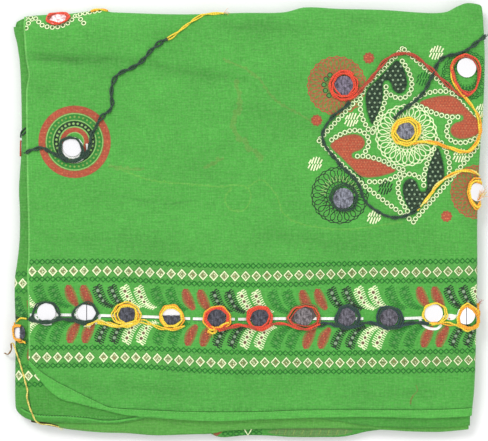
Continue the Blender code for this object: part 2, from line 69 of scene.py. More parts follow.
# Near edges, one for each ply that shows there. Columns: across, down
HEM_TOP_LINE = (
    (24, 355), (30.6, 361), (41, 371), (57, 381.5), (71.5, 389), (88, 397.5), (99, 402.8),
    (110, 407.5), (145, 410), (190, 412), (260, 412), (300, 410.5), (360, 410), (432, 410),
    (478, 408),
)
FRONT_NEAR_EDGE = (
    (24, 360), (29.6, 365), (39, 378), (49, 390), (61, 399), (78, 403.5), (99, 409), (126, 415.3),
    (171, 419.5), (215, 421.6), (260, 420), (304, 418.4), (370, 417.4), (433, 418.6), (478, 416),
)
UNDER_NEAR_EDGE = (
    (10, 406), (20, 416), (31, 421), (48, 423), (99, 424), (117, 424), (135, 421), (150, 418.4),
    (180, 416), (300, 416), (326, 420), (342, 422), (357, 425), (370, 426.4), (384, 428),
    (430, 429), (478, 426),
)
THIRD_NEAR_EDGE = (
    (30, 423), (58, 428.7), (72, 431), (99, 433.6), (126, 434.5), (155, 436.7), (194, 435.6),
    (209, 435.2), (228, 432), (262, 430.2), (352, 429.6), (388, 431.3), (412, 432.7),
    (440, 433.2), (458, 431.8), (470, 430.6),
)
FOURTH_NEAR_EDGE = (
    (206, 433), (216.5, 438), (224, 439), (247, 436.9), (273, 437.5), (292, 438.8), (326, 438.8),
    (342, 438.5), (353, 436.7), (368, 433), (388, 430.5),
)
INNER_NEAR_EDGE = (
    (14, 405), (30, 413), (58, 423), (99, 428.5), (155, 431.5), (209, 431.5), (262, 431),
    (352, 430), (400, 428.5), (440, 429), (471, 424),
)

# How far the pack falls towards each edge: depth of the fall and how wide it is
LEFT_FALL = (8.0, 24.0)
RIGHT_FALL = (4.0, 26.0)
NEAR_FALL = (9.0, 95.0)
NEAR_FALL_START = 345.0
FAR_FALL_WIDTH = 22.0
FAR_FALL_DEPTH = ((0, 8), (18, 9), (44, 15), (88, 14), (150, 6.5), (260, 6), (488, 7))

# Largest creases of the top length. Columns: across and down at each end, half width, depth
CREASES = (
    (20, 56, 112, 62, 5.5, 1.7),
    (96, 60, 172, 66, 6.0, 0.9),
    (150, 72, 250, 78, 8.0, 0.9),
    (22, 84, 60, 90, 6.0, 0.5),
    (180, 24, 330, 30, 7.0, 0.8),
    (28, 236, 180, 246, 9.0, 0.5),
    (230, 236, 470, 250, 10.0, 0.6),
    (60, 384, 210, 398, 8.0, 0.6),
    (236, 300, 250, 408, 9.0, 0.5),
    (350, 330, 372, 408, 9.0, 0.5),
)

# Soft swells of the pack under the top length. Columns: across, down, half length, half width, rise
SWELLS = (
    (110, 150, 90, 60, 0.8),
    (300, 110, 110, 60, 0.6),
    (410, 230, 70, 70, 0.7),
    (170, 330, 120, 45, 0.5),
    (60, 30, 50, 14, 0.5),
)

# Finer creases of the top length. Columns as for the largest ones
FINE_CREASES = (
    (27, 57, 82, 61.5, 3.0, 0.75), (56, 62, 124, 59, 2.8, 0.45), (100, 58, 168, 61, 3.0, 0.3),
    (25, 56, 31, 88, 2.0, 0.55), (22, 28, 26, 60, 2.4, 0.4),
    (150, 54, 196, 50, 3.0, 0.35), (146, 66, 214, 76, 3.6, 0.65), (196, 74, 262, 84, 3.2, 0.4),
    (214, 30, 300, 22, 4.5, 0.35), (330, 18, 440, 26, 4.0, 0.35),
    (30, 168, 34, 232, 2.4, 0.3), (228, 104, 292, 118, 4.5, 0.3), (120, 198, 212, 206, 4.0, 0.35),
    (292, 120, 322, 134, 3.0, 0.4), (240, 232, 330, 240, 4.0, 0.3), (350, 234, 458, 228, 4.0, 0.3),
    (110, 384, 200, 392, 3.6, 0.35), (196, 392, 296, 388, 4.0, 0.3), (318, 398, 452, 392, 4.0, 0.35),
    (414, 330, 420, 402, 3.0, 0.25), (60, 374, 96, 392, 3.0, 0.4), (470, 240, 474, 330, 2.4, 0.35),
)

# How much painted shade each depth of crease puts on the cloth's colour, and the darkest that it gets
CREASE_SHADE = 0.12
FINE_CREASE_SHADE = 0.21
DARKEST_CREASE_SHADE = 0.56

# Middles of the mirrors on the top length
MIRROR_PLACES = (
    (47, 312), (87, 313), (126, 313.5), (171.5, 316), (216.5, 317.5), (260, 318), (302, 316),
    (346, 317), (388.5, 317.5), (433, 313), (467, 316), (73, 148), (405, 131), (343, 86),
    (465, 72), (343, 198),
)

# Where the corners of the top length are looked for, as a distance down its side edges
NEAR_LEFT_CORNER = 400
NEAR_RIGHT_CORNER = 410
FAR_LEFT_CORNER = 15
FAR_RIGHT_CORNER = 5

# How near a mirror's middle the cloth is puckered, and how near thread lies over its ring
PUCKER_REACH = 26
RING_REACH = 13.5

# Half of a mirror's section, from its middle on the face to its middle at the back. Columns:
# share of its radius, height
GLASS_SECTION = (
    (0.0, 0.4), (0.2, 0.4), (0.4, 0.4), (0.6, 0.4), (0.9, 0.4), (0.965, 0.36), (1.0, 0.2),
    (1.0, -0.25), (0.96, -0.4), (0.0, -0.4),
)

# Where the middle of a mirror lies on the map of its glass, in metres
GLASS_MIDDLE = 0.02

# Layers at the edges of the folded pile, and how many plies deep it lies near, left and elsewhere
PILE_INSET = 1.5
PILE_DEPTH_NEAR = 4.3
PILE_DEPTH_LEFT = 2.8
PILE_DEPTH = 1.9
PILE_NEAR_START = 378
PILE_LEFT_END = 72
PILE_LIP_GAP = 0.7
PILE_LIPS = 6
LIP_SECTION = ((0.06, 0.15), (0.2, 0.72), (0.42, 1.0), (0.62, 1.0), (0.82, 0.72), (0.96, 0.15))


# Shape of the folded cloth


def follow(table, at):
    """Smooth curve through a table's rows: its second column at a value of its first."""
    if at <= table[0][0]:
        return table[0][1]
    if at >= table[-1][0]:
        return table[-1][1]
    k = next(i for i in range(len(table) - 1) if table[i + 1][0] >= at)

    def slope(i):
        low = max(i - 1, 0)
        high = min(i + 1, len(table) - 1)
        return (table[high][1] - table[low][1]) / (table[high][0] - table[low][0])

    (x0, y0), (x1, y1) = table[k], table[k + 1]
    span = x1 - x0
    q = (at - x0) / span
    return (y0 * (1 + 2 * q) * (1 - q) ** 2 + y1 * q * q * (3 - 2 * q)
            + span * slope(k) * q * (1 - q) ** 2 + span * slope(k + 1) * q * q * (q - 1))


def fall(distance, depth, width):
    """Drop of the pack's top near an edge, steeper the nearer the edge."""
    return depth * (1 - distance / width) ** 2 if distance < width else 0.0


def creases_at(across, down, table):
    """Depth of a table's creases at a place, as soft troughs that fade at both ends."""
    total = 0.0
    for x0, y0, x1, y1, half_width, depth in table:
        length = math.hypot(x1 - x0, y1 - y0)
        along = ((across - x0) * (x1 - x0) + (down - y0) * (y1 - y0)) / length
        if 0 < along < length:
            aside = ((across - x0) * (y1 - y0) - (down - y0) * (x1 - x0)) / length
            fade = 1 - ((2 * along / length - 1) ** 2) ** 2
            total += depth * fade * math.exp(-(aside / half_width) ** 2)
    return total


def top_height(across, down):
    """Height of the top length's upper face above the table, without its finest creases."""
    left = fall(across - follow(LEFT_FOLD, down), *LEFT_FALL)
    right = fall(follow(RIGHT_FOLD, down) - across, *RIGHT_FALL)
    far = fall(down - follow(FAR_FOLD, across), follow(FAR_FALL_DEPTH, across), FAR_FALL_WIDTH)
    near = NEAR_FALL[0] * max(0.0, (down - NEAR_FALL_START) / NEAR_FALL[1]) ** 2
    edges = math.sqrt(max(left, right) ** 2 + max(far, near) ** 2)
    rise = 0.0
    for x0, y0, half_length, half_width, height in SWELLS:
        rise += height * math.exp(-((across - x0) / half_length) ** 2 - ((down - y0) / half_width) ** 2)
    return PACK_HEIGHT - edges - creases_at(across, down, CREASES) + rise


def to_model(across, down, height):
    """Layout millimetres to the model's metres."""
    return Vector(((across - CENTRE_ACROSS) * MM, (CENTRE_DOWN - down) * MM, height * MM))


def lean(side, at=0.0):
    """Angle of the cloth where it starts to turn round a fold."""
    falls = {
        "left": LEFT_FALL,
        "right": RIGHT_FALL,
        "far": (follow(FAR_FALL_DEPTH, at), FAR_FALL_WIDTH),
    }
    depth, width = falls[side]
    return math.atan(2 * depth / width * (1 - FOLD_RADIUS / 2 / width))


def fold_inset(side, at=0.0):
    """Distance from where the cloth starts to turn to the fold's outermost line."""
    return FOLD_RADIUS * (1 - math.sin(lean(side, at)))


def fold_arc(side, at=0.0):
    """Length of cloth that goes round a fold."""
    return FOLD_RADIUS * (FOLD_TURN - lean(side, at))


def side_fold_start(side, down):
    """Where across the cloth starts to turn round the fold at a side."""
    if side == "right":
        return follow(RIGHT_FOLD, down) - fold_inset("right")
    return follow(LEFT_FOLD, down) + fold_inset("left")


def far_fold_start(across):
    """Where down the cloth starts to turn round the far fold."""
    return follow(FAR_FOLD, across) + fold_inset("far", across)


def puckers(across, down):
    """Small pleats where thread pulls the cloth in round its mirrors."""
    total = 0.0
    for x, y in MIRROR_PLACES:
        away = math.hypot(across - x, down - y)
        if away < PUCKER_REACH:
            angle = math.atan2(down - y, across - x)
            pleats = math.sin(7 * angle + x) + 0.6 * math.sin(11 * angle + y)
            total += 0.26 * pleats * math.exp(-((away - 12.5) / 5.5) ** 2)
    return total


def crease_shade_and_mottle(across, down):
    """Painted shade on the cloth's colour, darker the deeper its creases, with a soft random mottle of tone.
    """
    deep = CREASE_SHADE * creases_at(across, down, CREASES)
    deep += FINE_CREASE_SHADE * creases_at(across, down, FINE_CREASES)
    cloudy = 0.05 * noise.noise(Vector((across / 48, down / 26, 2.2)))
    return max(DARKEST_CREASE_SHADE, 1.0 - deep) * (1 + cloudy)


def relief(across, down):
    """Slight unevenness of soft cloth that lies on other cloth."""
    broad = noise.noise(Vector((across / 62, down / 55, 3.1)))
    fine = noise.noise(Vector((across / 21, down / 8, 8.4)))
    drawn = noise.noise(Vector((across / 7, down / 26, 5.2)))
    slight = 0.34 * broad + 0.13 * fine + 0.07 * drawn
    return slight - creases_at(across, down, FINE_CREASES) + puckers(across, down)


def ply_place(across, down, layer=0.0, depth=0.0, side="right"):
    """Place of a flat point of a ply, carried round the fold at its side and the far fold."""
    start_side = side_fold_start(side, down)
    start_far = far_fold_start(across)
    past_side = max(0.0, across - start_side if side == "right" else start_side - across)
    past_far = max(0.0, start_far - down)
    here_across = min(across, start_side) if side == "right" else max(across, start_side)
    here_down = max(down, start_far)
    height = top_height(here_across, here_down) - layer * PLY_PITCH + relief(here_across, here_down)
    if past_side == 0 and past_far == 0:
        return to_model(here_across, here_down, height - depth)
    side_share = past_side / fold_arc(side)
    far_share = past_far / fold_arc("far", here_across)
    if side_share >= far_share:
        heading = math.pi / 4 * far_share / side_share
    else:
        heading = math.pi / 2 - math.pi / 4 * side_share / far_share
    corner = heading / (math.pi / 2)
    first = lean(side) * (1 - corner) + lean("far", here_across) * corner
    turn = first + max(side_share, far_share) * (FOLD_TURN - first)
    out = FOLD_RADIUS * (math.sin(turn) - math.sin(first)) - depth * math.sin(turn)
    toward = 1 if side == "right" else -1
    return to_model(
        here_across + toward * out * math.cos(heading),
        here_down - out * math.sin(heading),
        height - FOLD_RADIUS * (math.cos(first) - math.cos(turn)) - depth * math.cos(turn),
    )


def ply_frame(across, down, layer=0.0, side="right"):
    """A ply's outer face at a flat point: the place there and the way out of the cloth."""
    step = 0.8
    here = ply_place(across, down, layer, 0.0, side)
    along = ply_place(across + step, down, layer, 0.0, side) - here
    away = ply_place(across, down - step, layer, 0.0, side) - here
    return here, along.cross(away).normalized()


# The print


def linear(red, green, blue):
    """A colour seen by eye, 0 to 255, as the shader's linear colour."""
    def one(value):
        share = value / 255
        return share / 12.92 if share <= 0.04045 else ((share + 0.055) / 1.055) ** 2.4
    return one(red), one(green), one(blue), 1.0


DYES = {
    "ground": linear(78, 166, 66),
    "hem": linear(84, 176, 70),
    "pale_edge_line": linear(108, 188, 90),
    "reverse": linear(70, 148, 60),
    "lower": linear(70, 150, 56),
    "third": linear(88, 163, 66),
    "seam shade": linear(46, 112, 40),
    "strip": linear(62, 54, 36),
    "cream": linear(240, 250, 200),
    "white": linear(250, 251, 246),
    "dark glass reflection": linear(92, 82, 80),
    "dark green": linear(24, 102, 38),
    "edge green": linear(46, 128, 44),
    "middle green": linear(48, 134, 50),
    "hatch green": linear(28, 112, 34),
    "band tint": linear(82, 161, 68),
    "ring green": linear(84, 152, 74),
    "ring middle": linear(78, 92, 56),
    "black": linear(31, 52, 38),
    "grey dot": linear(138, 164, 132),
    "red": linear(176, 80, 58),
    "leaf red": linear(160, 74, 56),
    "leaf green": linear(38, 122, 42),
    "dull red": linear(152, 88, 54),
    "red dot": linear(208, 112, 70),
    "brown": linear(148, 100, 60),
    "leaf dot": linear(112, 92, 70),
    "olive": linear(118, 132, 62),
    "olive strip": linear(98, 138, 74),
    "rust": linear(172, 92, 62),
    "olive dot": linear(130, 164, 78),
    "drab": linear(142, 158, 104),
    "olive drab": linear(122, 142, 84),
    "pale line": linear(146, 190, 108),
    "faint yellow": linear(95, 171, 69),
    "faint brown": linear(96, 158, 68),
    "faint dark": linear(74, 158, 64),
    "stain": linear(112, 128, 60),
}


# The border's print. Columns: across, down
HATCH_ROWS = (
    ((28, 262), (88, 261), (120, 261.4), (230, 265.8), (333, 264), (435, 261.5), (480, 260.5)),
    ((28, 279), (88, 279), (125, 279.7), (225, 284.5), (300, 284), (333, 281.5), (435, 280.5), (480, 280)),
    ((28, 347.5), (125, 347.5), (225, 351.5), (300, 353), (400, 352), (480, 350.5)),
    ((28, 365.4), (125, 365.4), (225, 371.5), (300, 371.4), (400, 370.7), (480, 369.5)),
)
DIAMOND_ROWS = (
    ((28, 271.4), (97, 270.6), (129, 271.3), (181, 274), (229, 276), (276, 275.5), (340, 273.7),
     (362, 272.2), (429, 272), (480, 270)),
    ((28, 357), (125, 357), (157, 358), (200, 361.3), (231, 363.3), (252, 362), (338, 362.5),
     (437, 361), (480, 359.5)),
)
DIAMOND_STARTS = ((32.4, 10.4, 97.0, 10.62), (36.7, 10.7, 103.9, 10.72))
PRINT_LEFT = 24.0
PRINT_JOINT = 89.5
PRINT_RIGHT = 486.0
STEM_LINE = (
    (28, 314.8), (75, 314.8), (150, 316.6), (194, 318.5), (237, 319), (280, 318.4), (370, 318.4),
    (410, 318), (451, 316), (480, 315),
)
STEM_ENDS = (28.0, 482.0)
STEM_GAPS = ((190.3, 193), (234.8, 238.2), (363, 404))
# Glass that shows past the round mirrors, painted flat on the cloth as white and dark painted reflection.
# Columns: dye, corners
MIRROR_PATCHES = (
    ("white", ((37.6, 310), (44, 304.2), (52.4, 305.2), (58.8, 313.8), (55, 318.6), (38.4, 319))),
    ("white", ((76, 308), (84, 303.6), (90.6, 304.2), (97, 313), (93, 319.4), (86, 321.6), (76.4, 319))),
    ("dark glass reflection", ((288.6, 317.6), (295.4, 309.6), (306, 305.4), (313, 307.6), (316, 316), (308, 324),
              (292, 322))),
)
WHITE_SLIVERS = (
    (((419, 318), (423, 325), (430, 328.4), (437, 328.3), (441, 324.5)), 2.6),
    (((95.5, 323.6), (99.5, 319), (100.5, 314.5)), 2.4), (((84, 325.6), (91, 326)), 1.8),
    (((33, 312), (36, 317), (43, 323.6), (52, 323.8)), 1.8), (((138, 308.6), (140.8, 313)), 2.2),
)
LEAF_SPINE = ((0, 1.3), (1.2, 5.9), (3.4, 11.2), (6.2, 16), (10.5, 20), (16.5, 22.3))
RED_SPINE = ((0.2, 2.6), (2.0, 8.0), (4.8, 14.0), (8.8, 20.4))
LEAF_START = 38
LEAF_REPEAT = 116.8
LEAF_PLACES = (
    (0, "leaf green", "ring green"), (14.6, "leaf green", "ring green"),
    (30, "red", "red dot"), (45, "red", "red dot"),
    (59, "black", "grey dot"), (73.6, "black", "grey dot"),
    (86, "cream", "leaf dot"), (100.2, "cream", "leaf dot"),
)

# The square panel: its corners with a knot on each side between them, and one of its paisleys,
# which is turned by quarters for all four. These points were read off the photo
PANEL_CENTRE = (404.5, 137.0)
PANEL_SIDES = (
    ((402, 49), (358, 98), (320, 139)),
    ((319, 141), (361, 183), (413, 222)),
    ((415, 219), (445, 185), (484, 139)),
    ((404, 50), (449, 91), (484, 130)),
)
PAISLEY = (
    (-8.5, -76), (-18.5, -66), (-27.5, -57), (-36.5, -48), (-39, -41), (-38.5, -31), (-36.5, -22),
    (-32.7, -12.5), (-28.5, -20), (-24.5, -29), (-22.5, -37), (-22, -45), (-22.3, -52), (-20.5, -56),
    (-16.5, -56.5), (-13.5, -53), (-12, -48), (-8.5, -44.2), (-4, -43.5), (0, -46.5), (2, -52),
    (1.5, -59), (-0.5, -66), (-3.5, -72),
)
PAISLEY_CHAINS = (
    ((-44.3, -37.9), (-44.3, -27.4), (-41.6, -16.9), (-36.5, -7.6), (-32.3, -4.3)),
    ((-18.8, -49.9), (-19.1, -40), (-22.7, -26.2), (-26.9, -17.8), (-31.1, -8.5)),
    ((-14, -41.8), (-9.5, -39.4), (-4.2, -38.6), (0.4, -39.6), (4.2, -42.8), (6.4, -47.6), (7, -52.7),
     (6.4, -57.8), (4.8, -62.6), (2.9, -67), (0.4, -71.2), (-2.6, -75.6)),
)
PAISLEY_SHIFTS = ((0, 0), (3, -1), (0, -1.5), (2.5, 0.5))
PAISLEY_DYES = ("black", "red", "black", "red")

# Round petalled prints. Columns: across, down, radius, petals, line, fill, dots. The first lies
# over the panel's paisleys and the others under them
ROSETTES = (
    (406.0, 135.5, 31.0, 23, "cream", None, "dark green"),
    (339.5, 195.3, 28.8, 20, "black", None, "ring green"),
    (336.5, 86.0, 29.5, 24, "rust", "olive", None),
    (477.0, 192.0, 27.0, 22, "rust", "olive", None),
    (466.0, 76.0, 25.0, 22, "dark green", None, "dark green"),
)
HATCHED_SPOTS = (
    (436, 53, "cream"), (351.4, 120, "cream"), (315, 164, "cream"), (374, 217, "cream"),
    (459.5, 155.6, "cream"), (482, 110.5, "cream"), (423, 79, "dark green"), (385, 188, "black"),
)
RED_SPOTS = ((368.5, 58.4), (316.4, 120.6), (446, 216.3))
PALE_RINGS = ((329.7, 75.4), (325.8, 79.4), (323.7, 85), (325.2, 91), (328.8, 95.8))

# Small cream rings of the chains
CHAIN_PITCH = 5.3
CHAIN_RADIUS = 2.55

# The round motif at the left: its middle, and its rings as radius, width and dye
TARGET = (75.0, 142.0)
TARGET_RINGS = (
    (32.6, 7.4, "brown"), (32.6, 6.2, "red"), (28.2, 0.9, "pale line"), (24.8, 5.4, "middle green"),
    (21.6, 0.9, "pale line"), (18.3, 5.0, "black"), (15.0, 1.0, "pale line"), (12.0, 4.6, "red"),
    (9.3, 1.0, "pale line"),
)
TARGET_PARTS = 40

# Ring chains at the far left corner
FAR_LEFT_CHAINS = (
    ((26.3, 28.2), (28.4, 22.8), (31.4, 18.6)),
    ((24.5, 18), (31.2, 16.4), (36, 18.6), (40.6, 24.2), (46.7, 26.8), (53.7, 27.6), (60.7, 26.4),
     (67.7, 23.2), (72, 18.6), (74.4, 14.8)),
    ((77, 14.6), (80.4, 19), (83.8, 23.2)),
    ((79, 12.8), (86, 11.6), (92, 10.4), (98.6, 9.2)),
)

# Thread of the ply below, seen faintly through the voile. Columns: dye, width, knots
SHOW_THROUGH = (
    ("faint yellow", 2.6, ((110, 165), (150, 180), (190, 184), (222, 187), (232, 185), (246, 187),
                           (251, 197), (244, 210), (231, 210), (225, 199), (231, 188))),
    ("faint yellow", 2.4, ((250, 186), (262, 180), (276, 195), (285, 215), (310, 226), (350, 229),
                           (400, 222))),
    ("faint brown", 3.2, ((225, 60), (255, 75), (275, 100), (300, 115), (318, 126))),
    ("faint brown", 5.5, ((236, 84), (240, 104), (232, 124), (244, 142), (262, 158))),
    ("faint brown", 4.0, ((110, 166), (126, 169), (142, 170))),
    ("faint brown", 4.5, ((206, 168), (214, 163), (224, 158))),
    ("faint dark", 2.2, ((122, 196), (160, 204), (196, 200))),
)
STAIN = ((415.8, 384.6), (417.3, 390.6), (413.4, 395.2), (411, 399.6), (410.6, 404.4))


def along_curve(knots, step, closed=False):
    """A smooth curve through knots, as points about a step apart."""
    count = len(knots)
    made = []
    for k in range(count if closed else count - 1):
        p1, p2 = knots[k], knots[(k + 1) % count]
        p0 = knots[k - 1] if closed or k else p1
        p3 = knots[(k + 2) % count] if closed or k < count - 2 else p2
        parts = max(1, round(math.hypot(p2[0] - p1[0], p2[1] - p1[1]) / step))
        for n in range(parts):
            t = n / parts
            made.append(tuple(
                0.5 * (2 * b + (c - a) * t + (2 * a - 5 * b + 4 * c - d) * t * t
                       + (3 * b - a - 3 * c + d) * t ** 3)
                for a, b, c, d in zip(p0, p1, p2, p3)
            ))
    if not closed:
        made.append(tuple(knots[-1]))
    return made


def spaced(knots, pitch, closed=False):
    """Places an equal pitch apart along a smooth curve through knots."""
    line = along_curve(knots, 0.8, closed)
    if closed:
        line.append(line[0])
    lengths = [0.0]
    for a, b in zip(line, line[1:]):
        lengths.append(lengths[-1] + math.hypot(b[0] - a[0], b[1] - a[1]))
    count = max(1, round(lengths[-1] / pitch))
    made = []
    k = 0
    for n in range(count if closed else count + 1):
        goal = lengths[-1] * n / count
        while k < len(line) - 2 and lengths[k + 1] < goal:
            k += 1
        q = (goal - lengths[k]) / max(1e-6, lengths[k + 1] - lengths[k])
        made.append((line[k][0] + q * (line[k + 1][0] - line[k][0]),
                     line[k][1] + q * (line[k + 1][1] - line[k][1])))
    return made


def around(across, down, reach, angle):
    """The flat point at a reach and an angle from another."""
    return across + reach * math.cos(angle), down + reach * math.sin(angle)


def spot(across, down, radius, dye, sides=8, tall=1.0):
    """One filled round print."""
    angles = [0.3 + math.tau / sides * k for k in range(sides)]
    return [([(across + radius * math.cos(angle), down + radius * tall * math.sin(angle))
              for angle in angles], dye)]


def diamond(across, down, half_wide, half_tall, dye):
    """One filled diamond."""
    return [([(across - half_wide, down), (across, down + half_tall), (across + half_wide, down),
              (across, down - half_tall)], dye)]


def drawn_line(points, width, dye, closed=False):
    """A line of the print, as four-cornered patches from point to point."""
    count = len(points)
    sides = []
    for k, (x, y) in enumerate(points):
        before = points[k - 1] if closed or k else points[k]
        after = points[(k + 1) % count] if closed or k < count - 1 else points[k]
        run, rise = after[0] - before[0], after[1] - before[1]
        half = width / 2 / max(1e-6, math.hypot(run, rise))
        sides.append(((x - rise * half, y + run * half), (x + rise * half, y - run * half)))
    patches = []
    for k in range(count if closed else count - 1):
        (a, b), (c, d) = sides[k], sides[(k + 1) % count]
        patches.append(([a, c, d, b], dye))
    return patches


def ring_chain(knots):
    """A line of small printed rings, each with a dark middle."""
    places = spaced(knots, CHAIN_PITCH)
    made = []
    for x, y in places:
        made += spot(x, y, CHAIN_RADIUS + 0.5, "edge green")
    for x, y in places:
        made += spot(x, y, CHAIN_RADIUS, "cream", 9)
    for x, y in places:
        made += spot(x, y, CHAIN_RADIUS - 0.95, "ring green") + spot(x, y, 1.0, "ring middle", 6)
    return made


def hatch_row(table, start, end):
    """Two zigzags that cross, like a row of small open links."""
    made = []
    pitch, reach = 5.35, 2.45
    count = round((end - start) / pitch)
    for side in (1, -1):
        line = []
        for k in range(count * 2 + 1):
            x = start + (end - start) * k / (count * 2)
            line.append((x, follow(table, x) + side * reach * math.sin(math.pi * k / 2)))
        made += drawn_line(line, 1.4, "hatch green")
    return made


def diamond_row(table, places):
    """Cream diamonds with a drab woven-looking middle."""
    made = []
    draw = random.Random(7)
    for x in places:
        y = follow(table, x)
        inner = 3.0 + 0.55 * min(1.0, x / 300)
        made += diamond(x, y, 5.5, 6.2, "edge green")
        made += diamond(x, y, 4.8, 5.3, "cream")
        made += diamond(x, y, inner, inner * 1.09, "drab" if x < 240 else "olive drab")
        for k in range(5):
            dye = draw.choice(("brown", "cream", "ring green", "cream", "leaf dot"))
            turn = k * 1.257 + draw.random()
            aside, away = 1.35 * math.cos(turn), 1.5 * math.sin(turn)
            made += spot(x + aside, y + away, draw.uniform(0.4, 0.7), dye, 4)
        made += spot(x, y, 0.6, draw.choice(("brown", "cream", "ring middle")), 4)
    return made


def red_leaf(across, down, flip):
    """A filled red leaf with a hairy edge and specks."""
    made = []
    blob = spaced([(across + x, down + flip * y) for x, y in RED_SPINE], 1.7)
    for k, (x, y) in enumerate(blob):
        reach = 4.7 * math.sin(math.pi * (0.22 + 0.7 * k / len(blob))) ** 0.8
        made += drawn_line([(x - reach, y + flip * 0.6 * reach), (x + reach, y - flip * 0.6 * reach)],
                           1.2, "dull red")
    for k, (x, y) in enumerate(blob):
        made += spot(x, y, 3.4 * math.sin(math.pi * (0.22 + 0.72 * k / len(blob))) ** 0.8, "leaf red", 9)
    for k, (x, y) in enumerate(spaced(blob, 0.95)):
        made += spot(x + 2.3 * math.sin(k * 2.4), y, 0.6, ("red dot", "dull red", "brown")[k % 3], 5)
    return made


def hairy_leaf(across, down, flip, dye, dot_dye):
    """A leaf drawn in slanted strokes on both sides of a bent spine, with three dots in it."""
    if dye == "red":
        return red_leaf(across, down, flip)
    spine = [(across + x, down + flip * y) for x, y in LEAF_SPINE]
    made = []
    strokes = spaced(spine, 2.15)
    for k, (x, y) in enumerate(strokes):
        share = k / len(strokes)
        reach = 4.9 * (1 - 0.62 * share ** 2) * (0.72 if k == 0 else 1.0)
        for side in (-1, 1):
            made += drawn_line(
                [(x + side * 0.6, y - side * flip * 0.35), (x + side * reach, y - side * flip * 0.6 * reach)],
                1.3 if k == 0 else 0.92 if dye == "cream" else 1.28, dye)
    made += drawn_line(along_curve(spine[:5], 2.6), 2.1 if dye == "cream" else 3.3, dye)
    made += drawn_line(spine[4:], 1.5, dye)
    for (x, y), radius in zip(spine[1:4], (1.75, 1.6, 1.35)):
        made += spot(x, y, radius + 0.7, dye, 8) + spot(x, y, radius, dot_dye, 8)
    return made


def border_print():
    """The whole border: link rows, diamonds, two rows of leaves and the white stem."""
    made = []
    for upper, lower in (HATCH_ROWS[:2], HATCH_ROWS[2:]):
        band = [(x, follow(upper, x) + 1.5) for x in range(22, 489, 6)]
        made.append((band + [(x, follow(lower, x) - 1.5) for x in range(484, 21, -6)], "band tint"))
    for table in HATCH_ROWS:
        made += hatch_row(table, PRINT_LEFT, PRINT_JOINT - 1.5)
        made += hatch_row(table, PRINT_JOINT + 0.5, PRINT_RIGHT)
    for table, (first, near_pitch, second, pitch) in zip(DIAMOND_ROWS, DIAMOND_STARTS):
        places = [first + near_pitch * k for k in range(-1, 6)]
        places += [second + pitch * k for k in range(37)]
        made += diamond_row(table, places)
    for cycle in range(-1, 4):
        for offset, dye, dot_dye in LEAF_PLACES:
            x = LEAF_START + LEAF_REPEAT * cycle + offset
            if 0 < x < PRINT_RIGHT:
                made += hairy_leaf(x, follow(HATCH_ROWS[1], x) + 5.4, 1, dye, dot_dye)
                low = x + 1 + 0.008 * x
                made += hairy_leaf(low, follow(HATCH_ROWS[2], low) - 4.0, -1, dye, dot_dye)
    ends = sorted([*STEM_ENDS, *(end for gap in STEM_GAPS for end in gap)])
    for start, end in zip(ends[::2], ends[1::2]):
        line = [(x, follow(STEM_LINE, x)) for x in steps_between(start, end, 6)]
        line.append((end, follow(STEM_LINE, end)))
        made += drawn_line([(x, y + 1.7) for x, y in line], 1.2, "dark green")
        made += drawn_line(line, 2.7, "white")
    # Painted reflection of the glass that shows past the mirrors' edges
    for dye, patch in MIRROR_PATCHES:
        made.append((list(patch), dye))
    for knots, width in WHITE_SLIVERS:
        made += drawn_line(along_curve(knots, 2.5), width, "white")
    return made + spot(450, 316.8, 5.6, "white", 12, 0.56) + spot(449, 318.6, 0.9, "red", 6)


def petal(across, down, angle, outer, half_width, width, dye):
    """One petal drawn as a closed loop with a blunt point, which points away from the middle."""
    inner = outer * 0.44
    knots = []
    for k in range(14):
        share = 1 - abs(k - 7) / 7
        aside = half_width * math.sin(math.pi * share ** 1.3) ** 0.72 * (1 if k < 7 else -1)
        reach = inner + (outer - inner) * share
        knots.append((across + reach * math.cos(angle) - aside * math.sin(angle),
                      down + reach * math.sin(angle) + aside * math.cos(angle)))
    return drawn_line(knots, width, dye, True)


def rosette(across, down, radius, petals, line, fill, dots):
    """A round of overlapping looped petals, on a filled round or else with dots and rays."""
    made = []
    spread = math.tau * radius / petals
    if fill:
        made += spot(across, down, radius - 1.5, fill, petals)
    for k in range(petals):
        made += petal(across, down, math.tau * k / petals, radius, spread * 1.06,
                      1.25 if fill else 0.95, line)
    if fill:
        return made
    for k in range(petals):
        angle = math.tau * (k + 0.5) / petals
        made += spot(*around(across, down, radius - 3.2, angle), 1.0, dots, 5)
        ray = [around(across, down, reach, angle) for reach in (radius * 0.36, radius * 0.66)]
        made += drawn_line(ray, 0.75, line)
    return made


def turned(points, quarter, shift):
    """Points of the square panel turned by quarters about its middle."""
    made = []
    for x, y in points:
        for _ in range(quarter):
            x, y = -y, x
        made.append((PANEL_CENTRE[0] + x + shift[0], PANEL_CENTRE[1] + y + shift[1]))
    return made


def inside(x, y, outline):
    """Whether a flat point lies within an outline."""
    within = False
    for (x0, y0), (x1, y1) in zip(outline, outline[1:] + outline[:1]):
        if (y0 > y) != (y1 > y) and x < x0 + (y - y0) / (y1 - y0) * (x1 - x0):
            within = not within
    return within


